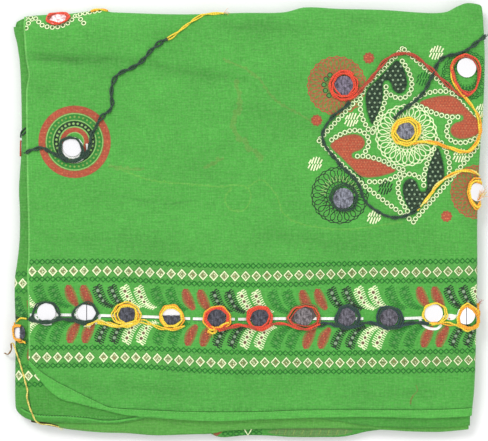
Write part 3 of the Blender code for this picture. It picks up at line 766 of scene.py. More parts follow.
def paisley_print(quarter):
    """A hooked paisley with its rows of small rings."""
    shift, dye = PAISLEY_SHIFTS[quarter], PAISLEY_DYES[quarter]
    outline = along_curve(turned(PAISLEY, quarter, shift), 3.0, True)
    dotted = "grey dot" if dye == "black" else "red dot"
    rim = "edge green" if dye == "black" else "brown"
    made = drawn_line(outline, 2.4, rim, True)
    made.append((outline, dye))
    gap, size = (5.2, 1.15) if dye == "black" else (2.9, 0.66)
    low_x, low_y = min(x for x, y in outline), min(y for x, y in outline)
    reach, lift = 80, 0.87
    for j in range(int(reach / (gap * lift))):
        for i in range(int(reach / gap)):
            x = low_x + (i + 0.5 * (j % 2)) * gap + 1.2
            y = low_y + j * gap * lift + 1.2
            sides = ((1.4, 0), (-1.4, 0), (0, 1.4), (0, -1.4))
            if all(inside(x + dx, y + dy, outline) for dx, dy in sides):
                made += spot(x, y, size, dotted, 6 if dye == "black" else 4)
    for chain in PAISLEY_CHAINS:
        made += ring_chain(turned(chain, quarter, shift))
    return made


def hatched_spot(across, down, dye):
    """A small round of slanted strokes in two rows. A cream one has a green rim."""
    made = []
    rim = [(2.3, "edge green")] if dye == "cream" else []
    for width, shade in rim + [(1.45, dye)]:
        for k in range(-2, 3):
            x = across + k * 2.75
            reach = math.sqrt(7.0 ** 2 - (k * 2.75) ** 2)
            made += drawn_line([(x - 1.6, down + reach), (x + 0.8, down + 0.3)], width, shade)
            made += drawn_line([(x - 0.8, down - 0.3), (x + 1.6, down - reach)], width, shade)
    return made


def fuzzy_spot(across, down):
    """A small red round with a broken edge."""
    made = []
    for k in range(9):
        made += spot(*around(across, down, 4.4, math.tau * k / 9), 1.7, "dull red", 5)
    made += spot(across, down, 4.9, "red", 9)
    for k in range(5):
        made += spot(*around(across, down, 2.6, 1 + 2.4 * k), 0.8, "red dot", 5)
    return made


def target_print():
    """The round motif at the left: red, dotted green and dotted black rings, and a white disc."""
    x, y = TARGET
    made = []
    for radius, width, dye in TARGET_RINGS:
        circle = [around(x, y, radius, math.tau * k / TARGET_PARTS) for k in range(TARGET_PARTS)]
        made += drawn_line(circle, width, dye, True)
    for radius, count, size, dye in ((24.9, 36, 1.15, "olive dot"), (18.2, 27, 1.3, "pale line")):
        for k in range(count):
            made += spot(*around(x, y, radius, math.tau * k / count), size, dye, 6)
    for k in range(42):
        made += spot(*around(x, y, 32.6 + 1.6 * math.sin(k * 2.1), math.tau * k / 42), 0.7, "red dot", 4)
    crescent = [around(x - 0.5, y + 6.6, 13.4, math.radians(a)) for a in range(-20, 150, 10)]
    made += drawn_line(crescent, 3.4, "black") + drawn_line(crescent, 2.2, "white")
    made += spot(x - 2, y + 6, 11.0, "white", 16)
    return made


def front_print():
    """All that is printed on the top length, in the order it is laid down."""
    made = []
    draw = random.Random(23)
    for dye, width, knots in SHOW_THROUGH:
        for x, y in along_curve(knots, 2.6):
            made += spot(x + draw.uniform(-0.4, 0.4) * width, y + draw.uniform(-0.4, 0.4) * width,
                         width * draw.uniform(0.2, 0.62), dye, 7)
    for dye, width, knots in SHOW_THROUGH:
        made += drawn_line(along_curve(knots, 3.0), 0.55 * width, dye)
    made += drawn_line(along_curve(STAIN, 1.6), 0.8, "stain")
    made += drawn_line(along_curve(STAIN[2:], 1.6), 1.7, "stain")
    made += border_print()
    made += target_print()
    for row in ROSETTES[1:]:
        made += rosette(*row)
    x, y = ROSETTES[1][:2]
    for k in range(15):
        angle = math.radians(186 + 12 * k)
        made += drawn_line([around(x, y, 14, angle), around(x, y, 19.5, angle)], 1.0, "pale line")
    for x, y in PALE_RINGS:
        made += spot(x, y, 2.7, "black", 9) + spot(x, y, 1.9, "ring green")
    for side in PANEL_SIDES:
        made += ring_chain(side)
    for quarter in range(4):
        made += paisley_print(quarter)
    made += rosette(*ROSETTES[0])
    for x, y, dye in HATCHED_SPOTS:
        made += hatched_spot(x, y, dye)
    for x, y in RED_SPOTS:
        made += fuzzy_spot(x, y)
    for chain in FAR_LEFT_CHAINS:
        made += ring_chain(chain)
    # A pale line along the free left edge of the top length
    pale_edge_line = [(follow(FRONT_LEFT_EDGE, y) + 0.9, y) for y in steps_between(12, 362, 6)]
    made += drawn_line(pale_edge_line, 1.8, "pale_edge_line")
    return made


def under_print():
    """What shows of the same border at the left, on the length under the top one, with painted shade lines by
    its hem and its left fold.
    """
    made = []
    for row, drop in ((0, 12.0), (1, 12.0), (2, 19.0), (3, 19.0)):
        made += hatch_row([(x, y + drop) for x, y in HATCH_ROWS[row]], 4.0, 60.0)
    made += diamond_row([(0, 283.5), (60, 283)], [1.5, 12, 22.4, 33])
    made += diamond_row([(0, 376), (60, 375.5)], [7.4, 18, 28.4, 38.8])
    leaves = ((2, "black", "grey dot"), (15, "dark green", "ring green"), (30, "red", "red dot"))
    for x, dye, dot_dye in leaves:
        made += hairy_leaf(x, 297, 1, dye, dot_dye) + hairy_leaf(x, 362, -1, dye, dot_dye)
    near_seam = along_curve(((20, 408), (36.6, 415.2), (65, 416.6), (86.6, 418.4), (101, 420.6),
                             (118, 420.2), (150, 415)), 4.0)
    # A painted shade line along the under ply's hem, and its paler hem band beside it
    made += drawn_line([(x, y - 0.2) for x, y in near_seam], 1.2, "seam shade")
    made += drawn_line([(x, y + 1.4) for x, y in near_seam], 1.6, "hem")
    # A painted shade line where the under ply turns round its fold at the left
    roll_shade_line = along_curve(((27.3, 386), (28.6, 396), (30.4, 408), (33, 419)), 4.0)
    return made + drawn_line(roll_shade_line, 1.3, "seam shade")


def fourth_print():
    """The scrap of border that shows on the lowest ply, and the paler back of the print."""
    made = drawn_line([(214, 437), (222, 431)], 4.2, "dull red")
    for down in (435.5, 431.5):
        made += hatch_row([(200, down), (300, down - 0.5)], 222.0, 262.0)
    made += drawn_line([(244, 430), (248, 437), (252, 430)], 1.3, "cream")
    strip = along_curve(((268, 434), (282, 430), (306, 428.6), (334, 429.4), (354, 432), (346, 436),
                         (322, 438), (292, 438)), 4.0, True)
    made.append((strip, "olive strip"))
    for k in range(26):
        x = 276 + k * 2.9
        made += drawn_line([(x, 436.4), (x + 1.8, 431.4)], 0.6, "ring green" if k % 3 else "olive dot")
    return made


def third_print():
    """The dark strip at the left end of the third ply and the seam line beside it."""
    dark = [(28, 418), (36, 421), (46, 423.4), (57, 426), (57, 428.8), (44, 427), (30, 425)]
    return [(dark, "strip")] + drawn_line(((58, 428), (90, 431.6), (130, 433.6)), 0.9, "olive strip")


# Cloth, pile and mirrors


def mesh_piece(name, mesh, finish):
    """Put a finished mesh in the scene as a piece of the shawl."""
    mesh.materials.clear()
    mesh.materials.append(finish)
    piece = bpy.data.objects.new(name, mesh)
    bpy.context.scene.collection.objects.link(piece)
    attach(piece, BODY)
    return piece


def smooth_mesh(name, points, faces, lay):
    """A smooth mesh, its colours and its flat map, both still to be filled in."""
    mesh = bpy.data.meshes.new(name)
    mesh.from_pydata(points, [], faces)
    mesh.shade_smooth()
    return mesh, mesh.color_attributes.new("dye", "FLOAT_COLOR", "CORNER"), mesh.uv_layers.new(name=lay)


def flat_key(across, down):
    """A flat point rounded, so that it can be found again."""
    return round(across, 4), round(down, 4)


def flat_grid(outline, cell):
    """Points of a square grid inside an outline's box."""
    low_x = min(x for x, y in outline)
    low_y = min(y for x, y in outline)
    wide = int((max(x for x, y in outline) - low_x) / cell) + 1
    tall = int((max(y for x, y in outline) - low_y) / cell) + 1
    return [(low_x + (i + 0.5) * cell, low_y + (j + 0.5) * cell) for i in range(wide) for j in range(tall)]


def triangulate(outline, shapes, cell, extra=()):
    """Triangles inside an outline that keep to the edges of the shapes drawn in it.

    Gives the flat points, the triangles, and for each triangle the last shape that covers it.
    """
    points = []
    faces = []
    for shape in [outline] + shapes:
        numbers = list(range(len(points), len(points) + len(shape)))
        area = sum(x0 * y1 - x1 * y0 for (x0, y0), (x1, y1) in zip(shape, shape[1:] + shape[:1]))
        faces.append(numbers if area < 0 else numbers[::-1])
        points += [Vector((x, -y)) for x, y in shape]
    points += [Vector((x, -y)) for x, y in flat_grid(outline, cell) + list(extra)]
    made = delaunay_2d_cdt(points, [], faces, 0, 0.00001, True)
    corners = [(v.x, -v.y) for v in made[0]]
    kept = [(tuple(face), max(origin)) for face, origin in zip(made[2], made[5]) if 0 in origin]
    used = sorted({k for face, shape in kept for k in face})
    number = {k: place for place, k in enumerate(used)}
    triangles = [tuple(number[k] for k in face) for face, shape in kept]
    return [corners[k] for k in used], triangles, [shape for face, shape in kept]


def border_loop(triangles):
    """Corners along the open border of some triangles, in order."""
    sides = {}
    for a, b, c in triangles:
        for start, end in ((a, b), (b, c), (c, a)):
            sides[start, end] = True
    after = {start: end for start, end in sides if (end, start) not in sides}
    first = next(iter(after))
    loop = [first]
    while after[loop[-1]] != first:
        loop.append(after[loop[-1]])
    return loop


def cloth_shell(name, outline, place, finish, prints=(), wall=CLOTH_WALL, cell=3.0,
                ground="ground", back="reverse", extra=()):
    """A thin cloth with a printed upper face, from its flat outline and a way to place it."""
    shapes = [shape for shape, dye in prints]
    flat, triangles, covers = triangulate(outline, shapes, cell, extra)
    points = [place(across, down, 0.0) for across, down in flat]
    faces = list(triangles)
    dyes = [DYES[prints[k - 1][1]] if k else DYES[ground] for k in covers]
    rim = border_loop(triangles)
    inner_flat, inner_triangles, _ = triangulate([flat[k] for k in rim], [], cell)
    inner_rim = border_loop(inner_triangles)
    first = len(points)
    points += [place(across, down, wall) for across, down in inner_flat]
    faces += [(first + a, first + c, first + b) for a, b, c in inner_triangles]
    nearest = {flat_key(*flat[k]): k for k in rim}
    pairs = [(nearest[flat_key(*inner_flat[k])], first + k) for k in inner_rim]
    for (upper, lower), (next_upper, next_lower) in zip(pairs, pairs[1:] + pairs[:1]):
        faces.append((upper, lower, next_lower, next_upper))
    dyes += [DYES[back]] * (len(faces) - len(dyes))
    mesh, dye, lay = smooth_mesh(name, points, faces, "cloth")
    every_flat = list(flat) + list(inner_flat)
    places = [(x * MM, (CENTRE_DOWN * 2 - y) * MM) for x, y in every_flat]
    # Each corner's print colour gets the painted crease shade and the mottle
    tones = [crease_shade_and_mottle(x, y) for x, y in every_flat]
    for polygon, colour in zip(mesh.polygons, dyes):
        for k in polygon.loop_indices:
            corner = mesh.loops[k].vertex_index
            dye.data[k].color = [share * tones[corner] for share in colour[:3]] + [1.0]
            lay.data[k].uv = places[corner]
    return mesh_piece(name, mesh, finish)


def steps_between(start, end, step):
    """Evenly spaced values from start up to, but not including, end."""
    count = max(1, round(abs(end - start) / step))
    return [start + (end - start) * k / count for k in range(count)]


def front_outline():
    """Flat outline of the top length: near edge, right fold, far fold and free left edge."""
    near = lambda x: follow(HEM_TOP_LINE, x) - SEAM_GAP
    right = lambda y: side_fold_start("right", y) + fold_arc("right")
    far = lambda x: far_fold_start(x) - fold_arc("far", x)
    left = lambda y: follow(FRONT_LEFT_EDGE, y)
    first_across = left(NEAR_LEFT_CORNER)
    last_across = right(NEAR_RIGHT_CORNER)
    far_across = left(FAR_LEFT_CORNER)
    far_right = far(right(FAR_RIGHT_CORNER))
    outline = [(x, near(x)) for x in steps_between(first_across, last_across, 3)]
    outline += [(right(y), y) for y in steps_between(near(last_across), far_right, 3)]
    outline += [(x, far(x)) for x in steps_between(right(far_right), far_across, 3)]
    outline += [(left(y), y) for y in steps_between(far(far_across), near(first_across), 3)]
    return outline


def make_front_cloth(finish, hem):
    """The top length with its print, round the far fold and the right fold."""
    place = lambda across, down, depth: ply_place(across, down, 0.0, depth, "right")
    bends = [(side_fold_start("right", y) + k * 1.3, y) for y in steps_between(2, 418, 3) for k in range(7)]
    bends += [(x, far_fold_start(x) - k * 1.2) for x in steps_between(22, 490, 3) for k in range(8)]
    piece = cloth_shell("front_cloth", front_outline(), place, finish,
                        prints=front_print(), cell=4.0, extra=bends)
    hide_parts("front_ply")


def make_front_hem(finish):
    """The turned hem along the near edge of the top length."""
    left = follow(FRONT_LEFT_EDGE, NEAR_LEFT_CORNER)
    last = side_fold_start("right", 412) + fold_arc("right")
    upper = [(x, follow(HEM_TOP_LINE, x)) for x in steps_between(left, last, 2)]
    lower = [(x, follow(FRONT_NEAR_EDGE, x)) for x in steps_between(left, last, 2)]
    upper.append((last, follow(HEM_TOP_LINE, last)))
    lower.append((last, follow(FRONT_NEAR_EDGE, last)))
    outline = lower + upper[::-1]

    def place(across, down, depth):
        start = follow(HEM_TOP_LINE, across)
        share = (down - start) / max(1.0, follow(FRONT_NEAR_EDGE, across) - start)
        rise = HEM_RISE * (0.4 + 0.6 * share) + 0.2 * noise.noise(Vector((across / 4, share, 1.7)))
        return ply_place(across, down, 0.0, depth - rise, "right")

    piece = cloth_shell("front_hem_cloth", outline, place, finish,
                        wall=HEM_WALL, cell=2.0, ground="hem", back="hem")
    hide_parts("front_hem")
    return piece


def make_under_cloth(finish):
    """The length under the top one: its left fold and the strips that show left and near."""
    arc = fold_arc("left")
    left = lambda y: side_fold_start("left", y) - arc
    near = lambda x: follow(UNDER_NEAR_EDGE, x)
    far = 26.0
    inner_across, inner_down, last = 130.0, 345.0, 471.0
    first = left(408)
    outline = [(x, near(x)) for x in steps_between(first, last, 3)]
    outline += [(last, y) for y in steps_between(near(last), inner_down, 4)]
    outline += [(x, inner_down) for x in steps_between(last, inner_across, 6)]
    outline += [(inner_across, y) for y in steps_between(inner_down, far, 6)]
    outline += [(x, far) for x in steps_between(inner_across, left(far), 3)]
    outline += [(left(y), y) for y in steps_between(far, near(first), 3)]
    place = lambda across, down, depth: ply_place(across, down, 1.0, depth, "left")
    piece = cloth_shell("under_cloth", outline, place, finish, prints=under_print(),
                        ground="lower")
    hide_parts("under_ply")


def make_near_cloth(name, node, edge, layer, start_down, finish, ground, prints=()):
    """A lower ply that shows only past the near edge of the plies above it."""
    first, last = edge[0][0], edge[-1][0]
    outline = [(x, follow(edge, x)) for x in steps_between(first, last, 3)]
    outline += [(last, y) for y in steps_between(follow(edge, last), start_down, 4)]
    outline += [(x, start_down) for x in steps_between(last, first, 6)]
    outline += [(first, y) for y in steps_between(start_down, follow(edge, first), 4)]

    def place(across, down, depth):
        return to_model(across, down, top_height(across, down) - layer * PLY_PITCH
                        + relief(across, down) - depth)

    piece = cloth_shell(name, outline, place, finish, prints=prints, ground=ground)
    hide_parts(node)


def plies_over(across, down):
    """How many plies lie over the pile at a place."""
    if down > PILE_NEAR_START:
        return PILE_DEPTH_NEAR
    return PILE_DEPTH_LEFT if across < PILE_LEFT_END else PILE_DEPTH


def pile_stations():
    """Places round the pile's edge where its section is drawn: flat place, way out, sides."""
    left = lambda y: side_fold_start("left", y) + PILE_INSET
    right = lambda y: side_fold_start("right", y) - PILE_INSET
    far = lambda x: far_fold_start(x) + PILE_INSET
    near = lambda x: follow(INNER_NEAR_EDGE, x) - FOLD_RADIUS
    x0, x1 = left(405), right(420)
    stations = [(x, near(x), (0.0, 1.0), "near") for x in steps_between(x0 + 2, x1 - 2, 3)]
    stations += [(right(y), y, (1.0, 0.0), "right") for y in steps_between(near(x1) - 2, far(x1) + 2, 3)]
    stations += [(x, far(x), (0.0, -1.0), "far") for x in steps_between(x1 - 2, left(20) + 2, 3)]
    stations += [(left(y), y, (-1.0, 0.0), "left") for y in steps_between(far(x0) + 2, near(x0) - 2, 3)]
    return stations


def pile_section(across, down, toward, side):
    """The pile's section at one place of its edge: reach and height, from the top down."""
    top = top_height(across, down)
    if side == "near":
        start = top - PLY_PITCH * PILE_DEPTH_NEAR
        outline = FOLD_RADIUS
    else:
        under = PLY_PITCH if side == "left" else 0.0
        drop = FOLD_RADIUS * (math.cos(lean(side, across)) - math.cos(FOLD_TURN)) + under
        start = top - drop - PILE_LIP_GAP
        outline = fold_inset(side, across) + PILE_INSET
    start = max(start, 0.8)
    inner = top - PLY_PITCH * plies_over(across, down)
    section = [(0.0, max(inner, start + 0.1)), (0.0, start)]
    for k in range(PILE_LIPS):
        wander = 0.5 + 0.5 * noise.noise(Vector((across / 31, down / 31, 4.7 * k)))
        for share, part in LIP_SECTION:
            height = start * (1 - (k + share) / PILE_LIPS)
            section.append((outline - 2.4 + 1.9 * part - 1.3 * wander * part, height))
    section.append((outline - 2.6, 0.0))
    return section


def make_pile(finish):
    """The hidden lengths as one soft pile, with a lip at its edges for each pair of plies."""
    stations = pile_stations()
    count = len(stations)
    headings = [Vector(toward) for _, _, toward, _ in stations]
    points = []
    sections = [pile_section(*station) for station in stations]
    levels = len(sections[0])
    for level in range(levels):
        for n, (across, down, _, _) in enumerate(stations):
            beside = [(n + k) % count for k in range(-3, 4)]
            heading = sum((headings[k] for k in beside), Vector((0.0, 0.0))).normalized()
            reach = sum(sections[k][level][0] for k in beside) / len(beside)
            height = sum(sections[k][level][1] for k in beside) / len(beside)
            points.append(to_model(across + reach * heading.x, down + reach * heading.y, height))
    faces = []
    for level in range(levels - 1):
        for n in range(count):
            m = (n + 1) % count
            upper, lower = level * count, (level + 1) * count
            faces.append((upper + n, lower + n, lower + m, upper + m))
    flat, triangles, _ = triangulate([(s[0], s[1]) for s in stations], [], 8.0)
    number = {flat_key(s[0], s[1]): n for n, s in enumerate(stations)}
    index = []
    for across, down in flat:
        if flat_key(across, down) in number:
            index.append(number[flat_key(across, down)])
        else:
            index.append(len(points))
            height = top_height(across, down) - PLY_PITCH * plies_over(across, down)
            points.append(to_model(across, down, height))
    faces += [tuple(index[k] for k in triangle) for triangle in triangles]
    faces.append(tuple((levels - 1) * count + n for n in reversed(range(count))))
    mesh, dye, lay = smooth_mesh("pile_cloth", points, faces, "cloth")
    for k, loop in enumerate(mesh.loops):
        dye.data[k].color = DYES["lower"]
        place = mesh.vertices[loop.vertex_index].co
        lay.data[k].uv = (place.x + 0.3, place.y + place.z + 0.3)
    piece = mesh_piece("pile_cloth", mesh, finish)
    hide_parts("folded_layers")


def seat_of(node):
    """Middle, facing and radius of a mirror's solid in the frame."""
    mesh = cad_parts[node].data
    middle = sum((v.co for v in mesh.vertices), Vector()) / len(mesh.vertices)
    face = max((p for p in mesh.polygons if p.normal.z > 0.3), key=lambda p: p.area)
    radius = max((v.co - middle).length for v in mesh.vertices)
    return middle, face.normal.copy(), radius


def make_mirror(name, finish, look):
    """A round glass with a ground edge, and what it mirrors given as its tone."""
    middle, normal, radius = seat_of("mirror_" + name)
    turn = Vector((0, 0, 1)).rotation_difference(normal).to_matrix().to_4x4()
    sides = 40
    work = bmesh.new()
    rings = []
    for share, height in GLASS_SECTION:
        spokes = [math.tau * k / sides for k in range(sides if share else 1)]
        flat = [around(0, 0, share * radius, angle) for angle in spokes]
        rings.append([work.verts.new((x, y, height * MM)) for x, y in flat])
    for upper, lower in zip(rings, rings[1:]):
        for k in range(sides):
            m = (k + 1) % sides
            if len(upper) == 1:
                work.faces.new((upper[0], lower[k], lower[m]))
            elif len(lower) == 1:
                work.faces.new((upper[k], lower[0], upper[m]))
            else:
                work.faces.new((upper[k], lower[k], lower[m], upper[m]))
    mesh = bpy.data.meshes.new("glass_" + name)
    work.to_mesh(mesh)
    work.free()
    dye = mesh.color_attributes.new("dye", "FLOAT_COLOR", "CORNER")
    marks = mesh.color_attributes.new("marks", "FLOAT_COLOR", "CORNER")
    lay = mesh.uv_layers.new(name="glass_face")
    # The glass's colour is a painted reflection of what the mirror faces: its tone, a dark painted side or
    # half on some, and a share of mottled dark painted reflection in the marks
    side_dark = look == "side dark"
    dark_reflection_share = 0.0 if "white" in look or side_dark else 1.0
    line = 1.0 if "lined" in look else 0.0
    tone = "white" if side_dark else look.split()[-1]
    for k, loop in enumerate(mesh.loops):
        x, y, _ = mesh.vertices[loop.vertex_index].co
        half = look == "half white" and y < 0.0006 or side_dark and x > 0.0012
        dye.data[k].color = TONES["dark" if half else tone]
        marks.data[k].color = (1.0 if half else dark_reflection_share, line, 0.0, 1.0)
        lay.data[k].uv = (x + GLASS_MIDDLE, y + GLASS_MIDDLE)
    mesh.transform(Matrix.Translation(middle) @ turn)
    mesh.shade_smooth()
    piece = mesh_piece("glass_" + name, mesh, finish)
    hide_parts("mirror_" + name)


# Threads and stitches


def strand_mesh(strands, name, sides):
    """Round strands from their centre lines. Each is (points, ups, radii, colours, closed)."""
    points = []
    faces = []
    dyes = []
    turns = []
    for line, ups, radii, colours, closed in strands:
        first = len(points)
        count = len(line)
        length = 0.0
        lengths = []
        for k in range(count):
            before = line[(k - 1) % count] if closed or k else line[0]
            after = line[(k + 1) % count] if closed or k < count - 1 else line[-1]
            along = (after - before).normalized()
            aside = along.cross(ups[k]).normalized()
            up = aside.cross(along)
            for s in range(sides):
                angle = math.tau * s / sides
                points.append(line[k] + radii[k] * (math.cos(angle) * aside + math.sin(angle) * up))
            lengths.append(length)
            if k < count - 1:
                length += (line[k + 1] - line[k]).length
        for k in range(count if closed else count - 1):
            m = (k + 1) % count
            for s in range(sides):
                t = (s + 1) % sides
                faces.append((first + k * sides + s, first + k * sides + t,
                              first + m * sides + t, first + m * sides + s))
                dyes.append((colours[k], colours[m]))
                end = length if m == 0 else lengths[m]
                turns.append((lengths[k], end, s / sides, (s + 1) / sides))
        if not closed:
            faces.append(tuple(first + s for s in reversed(range(sides))))
            faces.append(tuple(first + (count - 1) * sides + s for s in range(sides)))
            dyes += [(colours[0], colours[0]), (colours[-1], colours[-1])]
            turns += [None, None]
    mesh, dye, lay = smooth_mesh(name, points, faces, "ply_twist")
    for polygon, (early, late), turn in zip(mesh.polygons, dyes, turns):
        for n, k in enumerate(polygon.loop_indices):
            dye.data[k].color = late if n in (2, 3) else early
            if turn:
                start, end, low, high = turn
                lay.data[k].uv = ((start, start, end, end)[n], (low, high, high, low)[n])
    return mesh


def thread_piece(name, strands, finish, sides=6):
    """Put strands in the scene as one piece."""
    return mesh_piece(name, strand_mesh(strands, name, sides), finish)


YARNS = {
    "black": linear(46, 74, 58),
    "yellow": linear(255, 222, 66),
    "pale yellow": linear(252, 238, 130),
    "loose yellow": linear(220, 196, 96),
    "orange": linear(253, 178, 50),
    "red": linear(238, 82, 54),
    "brick": linear(190, 78, 54),
    "blueblack": linear(46, 70, 74),
    "brown": linear(150, 112, 66),
}

# Thread round the mirrors, from corner to corner. Columns: mirror, dyes of its turns, glass tone as
# painted reflection, strand radius, corners. A ring with no corners of its own follows its mirror's edge
RINGS = (
    ("border_01", ("black", "black"), "white", 0.78,
     ((34.6, 310.4), (38.8, 304.4), (44.6, 301.8), (53.6, 303.2), (57.4, 309), (60.2, 315.4),
      (54.6, 319.8), (48, 322), (38.4, 321.4), (33.6, 317.4))),
    ("border_02", ("black", "black"), "lined white", 0.78,
     ((75.4, 308.6), (81, 304), (87.7, 302.8), (93, 304.9), (99.2, 313.1), (93.9, 319.8),
      (84.7, 322), (76.6, 319.8), (73.2, 313.9))),
    ("border_03", ("yellow", "yellow", "orange", "yellow"), "dark", 0.72,
     ((114.3, 313.4), (119, 305.9), (128.2, 303.7), (135.9, 307), (139.6, 315), (137, 321.4),
      (127, 325), (117.4, 321))),
    ("border_04", ("yellow", "yellow", "orange"), "half white", 0.85,
     ((161, 313.2), (166, 306.9), (174.5, 306), (181.9, 311.6), (183, 320.4), (177.2, 327),
      (167, 326.6), (161.2, 320.6))),
    ("border_05", ("red", "red", "orange"), "dark", 0.95,
     ((205.4, 313.4), (213, 307.4), (222.2, 307.4), (228.4, 314.6), (228.2, 323.4), (220.6, 328.6),
      (210.6, 327.4), (204.8, 320.6))),
    ("border_06", ("red", "red", "red"), "dark", 0.95,
     ((249.6, 311.4), (256.4, 307.4), (266.4, 308.8), (271.9, 315.6), (269.4, 324.6), (261, 329),
      (251.6, 326.9), (247.4, 319.2))),
    ("border_07", ("brick", "red", "brown"), "streaked", 0.66,
     ((287.4, 318.4), (294.6, 308.9), (305.6, 304.4), (313.9, 307), (319.2, 314.7), (318.4, 323.4),
      (310.4, 328.3), (299.8, 327), (290.6, 323.4))),
    ("border_08", ("blueblack", "black", "blueblack"), "slate", 0.85,
     ((335.2, 317.4), (339.6, 307.6), (348.4, 305.4), (356.4, 309.8), (359.4, 317.8), (355.8, 326),
      (344.4, 327.4), (336.4, 323.2))),
    ("border_09", ("blueblack", "black", "blueblack"), "slate", 0.85,
     ((376.9, 317.4), (380.9, 309), (389.6, 306.6), (397.9, 310.9), (401.8, 318.8), (397.9, 326.6),
      (387, 328.6), (378.6, 324.4))),
    ("border_10", ("yellow", "yellow"), "white", 0.8,
     ((421.3, 315.8), (424.8, 306.2), (435.6, 302.2), (444.4, 307.2), (445, 316.4), (438, 323.6),
      (427, 322.2))),
    ("border_11", ("orange", "orange", "yellow"), "lined white", 1.0,
     ((457, 318), (460.4, 308.8), (466.8, 304.6), (474.2, 309.6), (478, 318.6), (475.4, 327),
      (465.4, 329), (457.6, 325))),
    ("circle", ("black", "black"), "white", 0.9,
     ((60.4, 149.6), (62.6, 141.4), (70, 137.6), (77.6, 138.8), (82.4, 146), (84.4, 153.4),
      (79.4, 160), (70.4, 161.4), (63, 157.6))),
    ("square_centre", ("yellow", "yellow", "orange", "yellow"), "speckled", 0.95,
     ((394, 127.6), (399.4, 121.4), (409, 120), (416.6, 124.4), (417.4, 133.4), (413.6, 141.4),
      (405.6, 144.6), (396.8, 141.6), (392, 134.6))),
    ("square_far", ("red", "red", "red"), "purple", 0.84,
     ((331.4, 84), (334.8, 76.2), (342.4, 72.6), (350.2, 74.4), (355, 81.4), (354.9, 90.4),
      (349.4, 97.2), (340.6, 98.6), (333.4, 92.8))),
    ("square_right", ("brick", "red"), "white", 0.95,
     ((451.6, 68), (456, 59.4), (464.4, 56), (473.4, 58.8), (478, 68), (478.2, 80.6), (474, 89.6),
      (467.6, 94.6), (460.4, 90.8), (454.6, 80))),
    ("square_near", ("black", "black"), "speckled", 0.7,
     ((330.6, 198), (334, 188.4), (343.4, 184.4), (352.8, 188), (356.9, 197), (353.4, 207),
      (343.6, 211.2), (334.4, 207.4))),
    ("far_fold", ("brick", "red", "red"), "pink", 0.85,
     ((46.6, 18.4), (49.6, 14.6), (56, 12.6), (64, 13.4), (68.4, 16.8), (66, 21.8), (60, 24.6),
      (52, 24), (47.6, 21.8))),
    ("right_fold", ("orange", "yellow", "orange"), "white", 1.0,
     ((467.6, 192), (469.4, 184), (474, 179.6), (480, 180.4), (482.6, 186), (482.8, 196), (480.8, 204),
      (475, 208), (469.8, 201.6))),
    ("under", ("brown", "orange", "orange"), "side dark", 0.8, None),
)
# Tones of the mirrors' glass, each a painted reflection of what the mirror faces
TONES = {
    "white": (0.96, 0.955, 0.975, 1.0),
    "dark": (0.05, 0.052, 0.066, 1.0),
    "slate": (0.085, 0.08, 0.098, 1.0),
    "streaked": (0.13, 0.115, 0.12, 1.0),
    "purple": (0.115, 0.10, 0.135, 1.0),
    "speckled": (0.14, 0.145, 0.175, 1.0),
    "pink": (0.80, 0.50, 0.50, 1.0),
}

